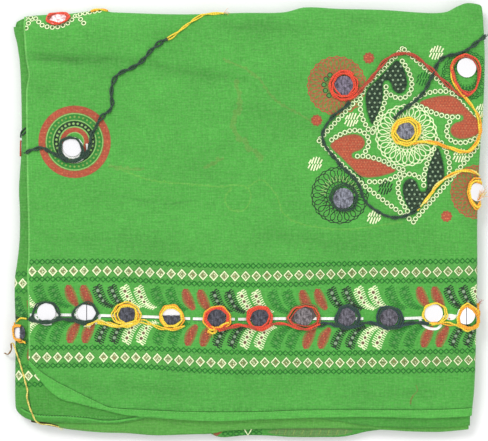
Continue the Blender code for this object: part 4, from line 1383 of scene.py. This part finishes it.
# Couched thread lines. Columns: name, dyes of the two strands, strand radius, how far they
# open, length of a link, knots from end to end
THREAD_LINES = (
    ("left_black", ("black", "black"), 0.92, 1.6, 10.5, (
        (26.5, 153), (31, 150.4), (42.6, 148.2), (48.9, 151), (55.8, 154.5), (62, 158.4),
        (71.3, 161.4), (80.4, 159.3), (87.3, 153.8), (90.9, 144.8), (92, 135.6), (96, 128.7),
        (99, 121.8), (105.2, 114.4), (110.4, 110.6), (112.7, 104), (111.7, 96), (112.6, 86),
        (116, 78), (122, 72.6), (132, 68.5), (141.6, 62), (151, 51.4), (160, 43.6), (167.6, 39.4))),
    ("left_black_pass", ("black", "black"), 0.8, 1.0, 9.0, (
        (60, 156.6), (70, 161.6), (80, 158.6), (88, 151.6), (90.6, 141), (92.6, 133.6))),
    ("far_yellow", ("yellow", "yellow"), 0.75, 1.5, 17.0, (
        (167, 39.8), (173, 36.6), (184, 28), (196, 19), (205, 14.6), (214, 13.6), (224, 13.4))),
    ("square_black_far", ("black", "black"), 0.95, 1.3, 9.5, (
        (485.5, 35.6), (479.8, 40), (467, 50), (456, 54.4), (446, 56.8), (440, 60.4), (435.8, 66.4),
        (433, 74), (429, 82), (423.4, 92.2), (416, 100.2), (407.8, 106.6), (399.6, 113), (393.6, 119))),
    ("square_red", ("brick", "brick"), 1.05, 1.3, 19.0, (
        (353.4, 97.8), (359.4, 92), (366, 84.4), (371.9, 77.5), (378, 69.4), (384.4, 61.6),
        (392.4, 56), (402, 54), (411.4, 55.2), (420.5, 61), (429.4, 68.7), (439.6, 78.3),
        (449.2, 87.2), (456.2, 93), (464, 96), (470, 94))),
    ("square_far_loop", ("red", "red"), 1.0, 0.9, 12.0, (
        (352.8, 75.8), (346, 71.4), (338.6, 72.8), (332.4, 77.9), (329.3, 84.4), (330.4, 91),
        (335, 97), (342, 100), (350, 99.2), (357, 94.6))),
    ("square_right_orange", ("orange", "yellow"), 0.95, 1.15, 24.0, (
        (463, 56.8), (454.4, 60.4), (451.2, 68), (452.2, 78), (455.8, 88), (461.3, 94.6),
        (466.4, 100.3), (471.5, 106.6), (476, 113.3), (478.6, 119.4), (479.2, 127), (478.9, 134),
        (476.6, 141.6), (472.4, 147.6), (466, 151.4), (457.8, 150.8), (448, 147.4), (437, 143.6),
        (425, 142), (413, 142.6))),
    ("square_right_orange_low", ("yellow", "orange"), 0.9, 0.9, 13.0, (
        (479.6, 124), (479.6, 133), (477.2, 142), (471.8, 149.4), (464.6, 152.4), (455, 150.6),
        (444, 146.8), (432, 143.4), (419, 142.2), (408, 145), (398, 142))),
    ("square_black_near", ("black", "black"), 0.95, 1.25, 10.0, (
        (349.6, 102.4), (343.2, 108.7), (333.6, 115.9), (326.4, 124.9), (322.2, 134.2),
        (323.8, 143.4), (328.4, 151), (335, 159.1), (341.9, 167.3), (348, 172.8), (354.9, 179.6),
        (359.4, 187), (362.4, 196.7), (367.6, 204.6), (376, 210.6), (384.9, 215.6), (396.5, 217.6),
        (406, 215.4), (413.4, 211.6), (419.4, 206.6))),
    ("square_yellow", ("yellow", "pale yellow"), 0.8, 1.25, 16.0, (
        (416.6, 210.4), (421.7, 204.7), (428.4, 196.6), (434.4, 187.4), (443.4, 179.6),
        (453, 174), (463, 171.2), (471.3, 171.4), (479.4, 175.6))),
    ("square_yellow_pass", ("orange", "yellow"), 0.75, 0.8, 11.0, (
        (424, 203), (432.6, 191.6), (441, 181.4), (452.4, 173.4), (464.4, 170.2), (476, 172.6))),
    ("border_black_1", ("black", "black"), 1.05, 1.35, 13.0, (
        (29.4, 318.4), (38.7, 321.4), (50, 321.4), (60.3, 319), (70, 319.4), (78, 321.6), (88, 323.4))),
    ("border_yellow_1", ("pale yellow", "yellow"), 0.75, 1.1, 12.0, (
        (85.7, 325.2), (92.3, 323.4), (97.8, 320.4), (105, 321.6), (113, 324), (122, 325.4),
        (131, 323), (139, 320.6))),
    ("border_yellow_2", ("yellow", "yellow"), 0.75, 1.3, 15.0, (
        (98, 322.6), (108, 324.4), (120, 326), (130, 325.4), (140, 320.8), (149, 322.9), (156, 326),
        (164, 328.4), (174, 328.8), (185, 325.4))),
    ("border_red_1", ("orange", "yellow"), 1.05, 0.9, 9.0, (
        (207.6, 330.8), (212.4, 333), (216, 330.4), (213, 327), (208.8, 328.4), (214, 328.8), (221, 326),
        (228.6, 322.4))),
    ("border_red_2", ("red", "brick"), 1.15, 1.0, 14.0, (
        (218, 330), (228, 327.6), (238, 325.2), (248, 325.8), (256, 328.4))),
    ("border_red_3", ("red", "brick"), 1.0, 1.0, 16.0, (
        (264, 327.6), (273, 323.8), (284, 323.6), (294, 326.4), (305, 329), (314, 327.2), (320, 323.6))),
    ("border_black_2", ("black", "blueblack"), 1.05, 1.3, 13.0, (
        (317, 325.4), (328, 323), (338, 325.6), (348, 327.4), (358, 324.4), (368, 322.4),
        (378, 324.6), (388, 328), (398, 326.6), (408, 323), (418, 322.4), (428, 323.6))),
    ("border_yellow_3", ("yellow", "orange"), 0.85, 1.1, 12.0, (
        (430, 323.4), (441, 323), (451, 324), (460.7, 326), (469, 328.4), (477, 325.4))),
    ("border_orange_pass", ("orange", "orange"), 1.0, 0.9, 10.0, (
        (457.6, 324), (463.6, 327.4), (470.6, 327.4), (477.6, 322.6), (479.4, 312), (478.6, 303.6))),
    ("far_left_yellow", ("orange", "yellow"), 0.8, 0.7, 9.0, (
        (90, 11), (95, 8.8), (101, 8.2), (107, 10))),
)


def ring_points(corners):
    """A ring's line that runs straight from corner to corner and turns softly at each."""
    knots = []
    for (x0, y0), (x1, y1) in zip(corners, corners[1:] + corners[:1]):
        for share in (0.14, 0.5, 0.86):
            knots.append((x0 + share * (x1 - x0), y0 + share * (y1 - y0)))
    return along_curve(knots, 1.3, True)


def ring_on_cloth(name, dyes, thick, corners):
    """Turns of thread round a mirror that lies on the top length."""
    draw = random.Random(name)
    middle_x = sum(x for x, y in corners) / len(corners)
    middle_y = sum(y for x, y in corners) / len(corners)
    strands = []
    for n, dye in enumerate(dyes):
        grown = 0.985 + 0.115 * (n - (len(dyes) - 1) / 2) + (0.03 if len(dyes) == 2 else 0.0)
        moved = [(middle_x + (x - middle_x) * grown + draw.uniform(-1.1, 1.1),
                  middle_y + (y - middle_y) * grown + draw.uniform(-1.1, 1.1)) for x, y in corners]
        line, ups, radii = [], [], []
        for k, (x, y) in enumerate(ring_points(tuple(moved))):
            place, out = ply_frame(x, y)
            lift = 0.95 + thick * (1.0 + 0.7 * (n % 2) + 0.25 * math.sin(k * 0.5 + n))
            line.append(place + out * lift * MM)
            ups.append(out)
            radii.append(thick * MM * (1 + 0.16 * noise.noise(Vector((k * 0.35, n * 3.0, middle_x)))))
        strands.append((line, ups, radii, [YARNS[dye]] * len(line), True))
    return strands


def ring_on_fold(name, dyes, thick):
    """Open turns of thread round the mirror at the left, which follow its own edge."""
    middle, normal, radius = seat_of("mirror_" + name)
    draw = random.Random(name)
    turn = Vector((0, 0, 1)).rotation_difference(normal).to_matrix()
    first, last = 66, 306
    corners, phase = 4, math.pi / 4
    steps = (last - first) // 6
    strands = []
    for n, dye in enumerate(dyes):
        mean = radius / MM - 1.2 + 2.7 * n / len(dyes)
        knots = [mean + draw.uniform(-0.6, 0.6) for _ in range(corners)]
        line = []
        for k in range(steps):
            angle = math.radians(first + 6 * k)
            place = ((angle + phase) / math.tau * corners) % corners
            q = place - int(place)
            reach = knots[int(place) % corners] * (1 - q) + knots[(int(place) + 1) % corners] * q
            reach *= math.cos(math.pi / corners) / math.cos((q - 0.5) * math.tau / corners) * 0.5 + 0.5
            rise = 1.15 + (0.35 if n % 2 else 0.0) + 0.3 * math.sin(3 * angle + phase)
            line.append(middle + turn @ Vector((*around(0, 0, reach, angle), rise)) * MM)
        radii = [thick * MM * (1 + 0.1 * math.sin(k * 0.8 + n)) for k in range(steps)]
        strands.append((line, [normal] * steps, radii, [YARNS[dye]] * steps, False))
    return strands


def make_thread_ring(name, dyes, thick, corners, finish):
    """Several turns of thick thread round a mirror, drawn straight from stitch to stitch."""
    if corners:
        strands = ring_on_cloth(name, dyes, thick, corners)
    else:
        strands = ring_on_fold(name, dyes, thick)
    piece = thread_piece("thread_" + name, strands, finish)
    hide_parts("thread_ring_" + name)


def make_thread_line(name, dyes, thick, spread, link, knots, finish):
    """A couched line: two strands that cross, open to a link and cross again."""
    draw = random.Random(name)
    flat = along_curve(knots, 1.25)
    seed = draw.random() * 50
    strands = []
    for side, dye in zip((1, -1), dyes):
        line, ups, radii = [], [], []
        phase = 0.4
        for k, (x, y) in enumerate(flat):
            before, after = flat[max(k - 1, 0)], flat[min(k + 1, len(flat) - 1)]
            run, rise = after[0] - before[0], after[1] - before[1]
            long = max(1e-6, math.hypot(run, rise))
            wander = noise.noise(Vector((k * 0.11, seed, 1.0)))
            phase += math.pi * 1.25 / (link * (1 + 0.5 * wander))
            open_by = side * spread * (0.8 + 0.7 * wander) * math.sin(phase)
            open_by += 0.35 * noise.noise(Vector((k * 0.3, seed, side * 4.0)))
            flat_x, flat_y = x - rise / long * open_by, y + run / long * open_by
            place, out = ply_frame(flat_x, flat_y)
            lift = thick * (1.3 + 0.75 * side * math.cos(phase))
            lift += 0.9 if near_ring(flat_x, flat_y) else 0.0
            line.append(place + out * lift * MM)
            ups.append(out)
            radii.append(thick * MM * (1 + 0.22 * noise.noise(Vector((k * 0.27, seed, side * 9.0)))))
        strands.append((line, ups, radii, [YARNS[dye]] * len(line), False))
    thread_piece("couched_" + name, strands, finish)


def near_ring(across, down):
    """Whether a flat place lies over a mirror's ring."""
    return any(math.hypot(across - x, down - y) < RING_REACH for x, y in MIRROR_PLACES)


# The loose thread at the left. Columns: across, down, plies under the top face
LOOSE_THREAD = (
    (2.0, 354.6, 1.0), (6.0, 355.4, 1.0), (9.8, 350.4, 1.0), (9.6, 344.4, 1.0), (12.2, 344.4, 1.0),
    (14.8, 351, 1.0), (19.4, 362.9, 1.0), (23, 374.3, 1.0), (25.9, 384.3, 1.0), (27.4, 391.4, 1.0),
    (26.8, 397.4, 1.0), (28.7, 405.7, 1.0), (31.6, 413.6, 1.0), (34.4, 420.4, 1.1), (38, 424, 1.7),
    (42.3, 425.2, 1.9), (49, 425.6, 1.9), (58, 428, 2.0),
)

# Short ends of thread on the ply under the top one
UNDER_THREADS = (
    ("black", ((17.6, 137), (20.6, 131.6), (25.6, 127.6))),
    ("black", ((17.4, 133.6), (22, 134.4), (26, 131.4))),
    ("brick", ((19, 140), (18.4, 147), (19.4, 156))),
    ("yellow", ((16.4, 322), (20.4, 318.4), (27, 318.8))),
    ("orange", ((14.6, 338.6), (19.6, 342.4), (25.6, 341.6))),
    ("yellow", ((14.6, 341), (20, 339.6), (26, 343.4))),
    ("orange", ((12.8, 323), (12.6, 331), (14.4, 340))),
)

# Tufts of fibres. Columns: across, down, heading, how many, reach, dye
FRAYED_ENDS = (
    (477, 200, -50, 9, 17, "orange"), (478, 196, -20, 6, 9, "pale yellow"),
    (478, 119, -40, 5, 8, "pale yellow"), (224, 13.5, -10, 4, 8, "orange"),
    (485, 36, -30, 5, 5, "black"), (26, 153, 180, 4, 5, "black"),
    (88, 325, 60, 4, 6, "pale yellow"), (212, 333, 120, 4, 5, "orange"),
    (478, 304, -70, 5, 7, "brick"), (58, 428, 20, 3, 6, "pale yellow"),
)


def make_loose_thread(finish):
    """The long loose yellow thread at the left, which hangs out past the fold at one end."""
    strands = []
    for side, dye in ((1, "loose yellow"), (-1, "pale yellow")):
        line, radii = [], []
        for k, (x, y, layer) in enumerate(along_curve(LOOSE_THREAD, 1.3)):
            aside = side * 0.42
            height = top_height(x, y) - layer * PLY_PITCH + relief(x, y) + 0.8
            height = max(height, 1.4) + aside * math.sin(k * 0.55)
            line.append(to_model(x + aside * math.cos(k * 0.55), y, height))
            radii.append(0.55 * MM)
        colours = [YARNS["brown"] if k < 14 else YARNS[dye] for k in range(len(line))]
        strands.append((line, [Vector((0, 0, 1))] * len(line), radii, colours, False))
    for dye, knots in UNDER_THREADS:
        flat = along_curve(knots, 1.2)
        frames = [ply_frame(x, y, 1.0, "left") for x, y in flat]
        line = [place + out * 0.9 * MM for place, out in frames]
        strands.append((line, [out for place, out in frames], [0.85 * MM] * len(line),
                        [YARNS[dye]] * len(line), False))
    thread_piece("loose_thread", strands, finish)


def make_frayed_ends(finish):
    """Fine fibres that stand out of the thread at the right fold and at the line ends."""
    draw = random.Random(41)
    strands = []
    for across, down, heading, count, reach, dye in FRAYED_ENDS:
        for _ in range(count):
            angle = math.radians(heading + draw.uniform(-28, 28))
            long = reach * draw.uniform(0.5, 1.0)
            bend = draw.uniform(-0.6, 0.6)
            start, out = ply_frame(across + draw.uniform(-1, 1), down + draw.uniform(-1, 1))
            line = []
            for k in range(9):
                share = k / 8
                way = angle + bend * share
                line.append(start + out * (1.6 + 1.2 * math.sin(share * 3)) * MM
                            + Vector((math.cos(way), -math.sin(way), -0.25 * share)) * long * share * MM)
            strands.append((line, [out] * 9, [0.16 * MM] * 9, [YARNS[dye]] * 9, False))
    thread_piece("frayed_ends", strands, finish, 4)


def stitch_tree(finish):
    """Nodes that lay one stitch after another along a path."""
    tree = bpy.data.node_groups.new("stitch_row", "GeometryNodeTree")
    tree.interface.new_socket("Path", in_out="INPUT", socket_type="NodeSocketGeometry")
    tree.interface.new_socket("Pitch", in_out="INPUT", socket_type="NodeSocketFloat")
    tree.interface.new_socket("Stitches", in_out="OUTPUT", socket_type="NodeSocketGeometry")
    taken = new_node(tree, "NodeGroupInput")
    given = new_node(tree, "NodeGroupOutput")
    curve = new_node(tree, "GeometryNodeMeshToCurve")
    evenly = new_node(tree, "GeometryNodeResampleCurve")
    evenly.mode = "LENGTH"
    grain = new_node(tree, "GeometryNodeMeshUVSphere", Segments=6, Rings=4, Radius=0.0005)
    along = new_node(tree, "GeometryNodeInputTangent")
    aim = new_node(tree, "FunctionNodeAlignRotationToVector")
    aim.axis = "X"
    placed = new_node(tree, "GeometryNodeInstanceOnPoints", Scale=(1.7, 0.55, 0.45))
    whole = new_node(tree, "GeometryNodeRealizeInstances")
    dressed = new_node(tree, "GeometryNodeSetMaterial", Material=finish)
    for giver, out, taker, into in (
        (taken, "Path", curve, "Mesh"),
        (curve, "Curve", evenly, "Curve"),
        (taken, "Pitch", evenly, "Length"),
        (evenly, "Curve", placed, "Points"),
        (grain, "Mesh", placed, "Instance"),
        (along, "Tangent", aim, "Vector"),
        (aim, "Rotation", placed, "Rotation"),
        (placed, "Instances", whole, "Geometry"),
        (whole, "Geometry", dressed, "Geometry"),
        (dressed, "Geometry", given, "Stitches"),
    ):
        tree.links.new(giver.outputs[out], taker.inputs[into])
    return tree


def make_stitch_row(name, line, pitch, tree, finish):
    """One row of running stitches along a line on the cloth."""
    path = bpy.data.meshes.new(name + "_path")
    path.from_pydata(line, [(k, k + 1) for k in range(len(line) - 1)], [])
    carrier = bpy.data.objects.new(name + "_path", path)
    bpy.context.scene.collection.objects.link(carrier)
    laid = carrier.modifiers.new("laid", "NODES")
    laid.node_group = tree
    pitch_key = next(item.identifier for item in tree.interface.items_tree if item.name == "Pitch")
    laid[pitch_key] = pitch
    ready = bpy.context.evaluated_depsgraph_get()
    mesh = bpy.data.meshes.new_from_object(carrier.evaluated_get(ready))
    carrier.modifiers.remove(laid)
    bpy.data.objects.remove(carrier)
    mesh.name = name
    mesh_piece(name, mesh, finish)


# Finishes


def fill_in(node, **values):
    """Set a node's inputs by name."""
    for name, value in values.items():
        node.inputs[name.replace("_", " ")].default_value = value


def new_node(tree, kind, **values):
    """A new node with its inputs set by name."""
    made = tree.nodes.new(kind)
    fill_in(made, **values)
    return made


def shader_of(name):
    """A new finish, its nodes and its main shader."""
    made = bpy.data.materials.new(name)
    made.use_nodes = True
    tree = made.node_tree
    return made, tree, tree.nodes["Principled BSDF"]


def colours_of(tree, name):
    """The colours that a mesh carries at its corners under a name."""
    made = new_node(tree, "ShaderNodeAttribute")
    made.attribute_name = name
    return made.outputs["Color"]


def map_of(tree, lay):
    """A flat map of the mesh."""
    made = new_node(tree, "ShaderNodeUVMap")
    made.uv_map = lay
    return made.outputs["UV"]


def pattern(tree, kind, lay, size, **settings):
    """A texture on a flat map of the mesh, stretched to a size."""
    stretch = new_node(tree, "ShaderNodeMapping", Scale=size)
    made = new_node(tree, kind, **settings)
    tree.links.new(map_of(tree, lay), stretch.inputs["Vector"])
    tree.links.new(stretch.outputs["Vector"], made.inputs["Vector"])
    return made.outputs["Color" if kind == "ShaderNodeTexWave" else "Fac"]


def ranged(tree, amount, first, last, low, high):
    """A texture's values between two limits, stretched to lie between two others."""
    span = new_node(tree, "ShaderNodeMapRange", From_Min=first, From_Max=last, To_Min=low, To_Max=high)
    tree.links.new(amount, span.inputs["Value"])
    return span.outputs["Result"]


def shaded(tree, colour, amount, low, high):
    """A colour made darker and lighter by a texture, between two shares."""
    scaled = new_node(tree, "ShaderNodeVectorMath")
    scaled.operation = "SCALE"
    tree.links.new(colour, scaled.inputs["Vector"])
    tree.links.new(ranged(tree, amount, 0.3, 0.7, low, high), scaled.inputs["Scale"])
    return scaled.outputs["Vector"]


def blended(tree, share, first):
    """A node that passes from a colour to its B by a share."""
    made = new_node(tree, "ShaderNodeMix")
    made.data_type = "RGBA"
    tree.links.new(share, made.inputs["Factor"])
    tree.links.new(first, made.inputs["A"])
    return made


def clouded(tree, scale, dark, light):
    """Soft clouds on the piece's own places, between two colours."""
    place = new_node(tree, "ShaderNodeTexCoord")
    cloud = new_node(tree, "ShaderNodeTexNoise", Scale=scale)
    shades = new_node(tree, "ShaderNodeValToRGB")
    shades.color_ramp.elements[0].color = dark
    shades.color_ramp.elements[1].color = light
    tree.links.new(place.outputs["Object"], cloud.inputs["Vector"])
    tree.links.new(cloud.outputs["Fac"], shades.inputs["Fac"])
    return shades.outputs["Color"]


def raised(tree, shader, parts):
    """Fine relief on a shader from textures, each with its height in metres."""
    before = None
    for height, distance in parts:
        bump = new_node(tree, "ShaderNodeBump", Strength=1.0, Distance=distance)
        tree.links.new(height, bump.inputs["Height"])
        if before:
            tree.links.new(before.outputs["Normal"], bump.inputs["Normal"])
        before = bump
    tree.links.new(before.outputs["Normal"], shader.inputs["Normal"])


def voile_finish(name, thick):
    """Printed cotton voile: dyed ground, slubby threads both ways, a matt soft face."""
    made, tree, shader = shader_of(name)
    warp, weft, patches, grain, slubs = [
        pattern(tree, "ShaderNodeTexNoise", "cloth", size, Scale=1.0, Detail=detail)
        for size, detail in (
            ((900, 70, 1), 3.0), ((60, 780, 1), 3.0), ((16, 20, 1), 3.0), ((620, 620, 1), 2.0),
            ((330, 520, 1), 3.0),
        )
    ]
    threads = pattern(tree, "ShaderNodeTexWave", "cloth", (1, 1, 1), Scale=392.0)
    # The cloth's dye attribute holds its print colour with the painted crease shade already in it
    colour = colours_of(tree, "dye")
    shades = ((warp, 0.89, 1.1), (weft, 0.87, 1.13), (grain, 0.88, 1.12), (patches, 0.94, 1.06))
    for amount, low, high in shades:
        colour = shaded(tree, colour, amount, low, high)
    paler = blended(tree, ranged(tree, slubs, 0.42, 0.78, 0.0, 0.12), colour)
    paler.inputs["B"].default_value = linear(186, 214, 160)
    tree.links.new(paler.outputs["Result"], shader.inputs["Base Color"])
    fill_in(shader, Roughness=0.86, Specular_IOR_Level=0.25, Sheen_Weight=0.12, Sheen_Roughness=0.5)
    raised(tree, shader, ((threads, 0.00004 * thick), (warp, 0.00016), (weft, 0.0002)))
    return made


def crack_line(tree, allowed):
    """A thin line down a mirror's middle, where its marks allow one."""
    parts = new_node(tree, "ShaderNodeSeparateXYZ")
    tree.links.new(map_of(tree, "glass_face"), parts.inputs["Vector"])
    near = new_node(tree, "ShaderNodeMath")
    near.operation = "COMPARE"
    near.inputs[1].default_value = GLASS_MIDDLE + 0.0002
    near.inputs[2].default_value = 0.0004
    tree.links.new(parts.outputs["X"], near.inputs[0])
    only = new_node(tree, "ShaderNodeMath")
    only.operation = "MULTIPLY"
    tree.links.new(near.outputs["Value"], only.inputs[0])
    tree.links.new(allowed, only.inputs[1])
    return only.outputs["Value"]


def glass_finish():
    """Silvered glass whose colour is a painted reflection: mottled where it shows dark, and plain where it
    shows white.
    """
    made, tree, shader = shader_of("shisha_glass")
    dye = colours_of(tree, "dye")
    split = new_node(tree, "ShaderNodeSeparateColor")
    tree.links.new(colours_of(tree, "marks"), split.inputs["Color"])
    blots = pattern(tree, "ShaderNodeTexNoise", "glass_face", (330, 330, 1), Scale=1.0, Detail=4.0,
                    Distortion=1.2)
    streaks = pattern(tree, "ShaderNodeTexNoise", "glass_face", (900, 120, 1), Scale=1.0, Detail=3.0)
    # Blots and streaks mottle the dark painted reflection where the marks ask for it
    mottled_reflection = shaded(tree, shaded(tree, dye, blots, 0.4, 2.2), streaks, 0.35, 2.0)
    face = blended(tree, split.outputs["Red"], dye)
    tree.links.new(mottled_reflection, face.inputs["B"])
    lined = blended(tree, crack_line(tree, split.outputs["Green"]), face.outputs["Result"])
    lined.inputs["B"].default_value = (0.05, 0.05, 0.06, 1.0)
    tree.links.new(lined.outputs["Result"], shader.inputs["Base Color"])
    fill_in(shader, Metallic=0.35, Roughness=0.16)
    raised(tree, shader, ((blots, 0.00004),))
    return made


def thread_finish():
    """Soft cotton thread with its plies wound round it and a little fuzz; stripes of painted shade darken its
    colour between the plies.
    """
    made, tree, shader = shader_of("soft_thread")
    twist = pattern(tree, "ShaderNodeTexWave", "ply_twist", (420, 1, 1), Scale=0.6283)
    twist.node.bands_direction = "DIAGONAL"
    fluff_and_groove_shade = pattern(tree, "ShaderNodeTexNoise", "ply_twist", (700, 6, 1), Scale=1.0, Detail=3.0)
    # Twist bands and fuzz streaks darken the yarn's colour: painted shade in the grooves between the plies,
    # over the yarn's own uneven tone
    colour = shaded(tree, shaded(tree, colours_of(tree, "dye"), twist, 0.86, 1.1), fluff_and_groove_shade, 0.74, 1.16)
    tree.links.new(colour, shader.inputs["Base Color"])
    fill_in(shader, Roughness=0.72, Sheen_Weight=0.2, Specular_IOR_Level=0.3)
    raised(tree, shader, ((twist, 0.00012), (fluff_and_groove_shade, 0.00012)))
    return made


def stitch_finish():
    """The fine green sewing thread of the hems."""
    made, tree, shader = shader_of("sewing_thread")
    colour = clouded(tree, 1400.0, linear(92, 178, 80), linear(134, 206, 114))
    tree.links.new(colour, shader.inputs["Base Color"])
    fill_in(shader, Roughness=0.7)
    return made


# Camera, table top and lights


def make_camera():
    """A long lens straight above the pack, which it frames as the layout sheet does."""
    lens = bpy.data.cameras.new("overhead")
    lens.lens = 100.0
    lens.sensor_width = 36.0
    camera = bpy.data.objects.new("overhead", lens)
    frame_width = 0.488
    mean_height = 0.018
    distance = frame_width * lens.lens / lens.sensor_width
    camera.location = to_model(244, 220.5, 0) + Vector((0, 0, mean_height + distance))
    bpy.context.scene.collection.objects.link(camera)
    bpy.context.scene.camera = camera


def make_floor():
    """A plain pale table top, wide enough for every view."""
    bpy.ops.mesh.primitive_plane_add(size=8.0)
    floor = bpy.context.object
    floor.name = "floor"
    made, tree, shader = shader_of("pale_floor")
    colour = clouded(tree, 2.0, (0.955, 0.955, 0.955, 1.0), (0.975, 0.975, 0.975, 1.0))
    tree.links.new(colour, shader.inputs["Base Color"])
    fill_in(shader, Roughness=0.9, Specular_IOR_Level=0.1)
    floor.data.materials.append(made)


def make_lights():
    """Soft studio light: a bright even sky and two wide lamps."""
    world = bpy.data.worlds.new("studio")
    bpy.context.scene.world = world
    world.use_nodes = True
    fill_in(world.node_tree.nodes["Background"], Color=(1.0, 1.0, 1.0, 1.0), Strength=0.82)
    for name, place, size, power in (
        ("key", (-1.5, 2.2, 2.6), 1.2, 54.0),
        ("fill", (1.1, -0.8, 1.6), 1.4, 5.0),
    ):
        lamp = bpy.data.lights.new(name, "AREA")
        lamp.size = size
        lamp.energy = power
        holder = bpy.data.objects.new(name, lamp)
        holder.location = place
        holder.rotation_euler = (-Vector(place)).to_track_quat("-Z", "Y").to_euler()
        bpy.context.scene.collection.objects.link(holder)


# The whole shawl, in the order it is made
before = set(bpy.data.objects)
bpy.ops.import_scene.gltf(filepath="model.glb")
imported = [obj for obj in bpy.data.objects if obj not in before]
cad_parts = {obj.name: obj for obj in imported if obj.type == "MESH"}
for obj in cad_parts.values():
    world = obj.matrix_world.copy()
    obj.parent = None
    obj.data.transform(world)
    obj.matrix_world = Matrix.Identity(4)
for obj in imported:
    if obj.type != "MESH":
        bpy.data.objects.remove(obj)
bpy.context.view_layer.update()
bpy.context.scene.view_settings.view_transform = "Standard"
voile = voile_finish("printed_voile", 1.0)
hem_voile = voile_finish("hem_voile", 1.6)
glass = glass_finish()
thread = thread_finish()
sewing = stitch_finish()
make_camera()
make_front_cloth(voile, make_front_hem(hem_voile))
make_under_cloth(voile)
make_near_cloth("third_cloth", "third_ply", THIRD_NEAR_EDGE, 2, 393, voile, "third", third_print())
make_near_cloth("fourth_cloth", "fourth_ply", FOURTH_NEAR_EDGE, 3, 396, voile, "lower", fourth_print())
make_pile(voile)
for mirror, dyes, look, thick, corners in RINGS:
    make_mirror(mirror, glass, look)
    make_thread_ring(mirror, dyes, thick, corners, thread)
for row in THREAD_LINES:
    make_thread_line(*row, thread)
make_loose_thread(thread)
make_frayed_ends(thread)
stitches = stitch_tree(sewing)
hem_line = [ply_frame(x, follow(HEM_TOP_LINE, x) + 1.0) for x in steps_between(31, 474, 2)]
make_stitch_row("hem_stitches", [place + out * 0.42 * MM for place, out in hem_line], 0.0026, stitches,
                sewing)
under_line = [ply_frame(x, follow(UNDER_NEAR_EDGE, x) - 6.5, 1.0, "left") for x in steps_between(33, 118, 2)]
make_stitch_row("under_stitches", [place + out * 0.15 * MM for place, out in under_line], 0.0028, stitches,
                sewing)
make_floor()
make_lights()
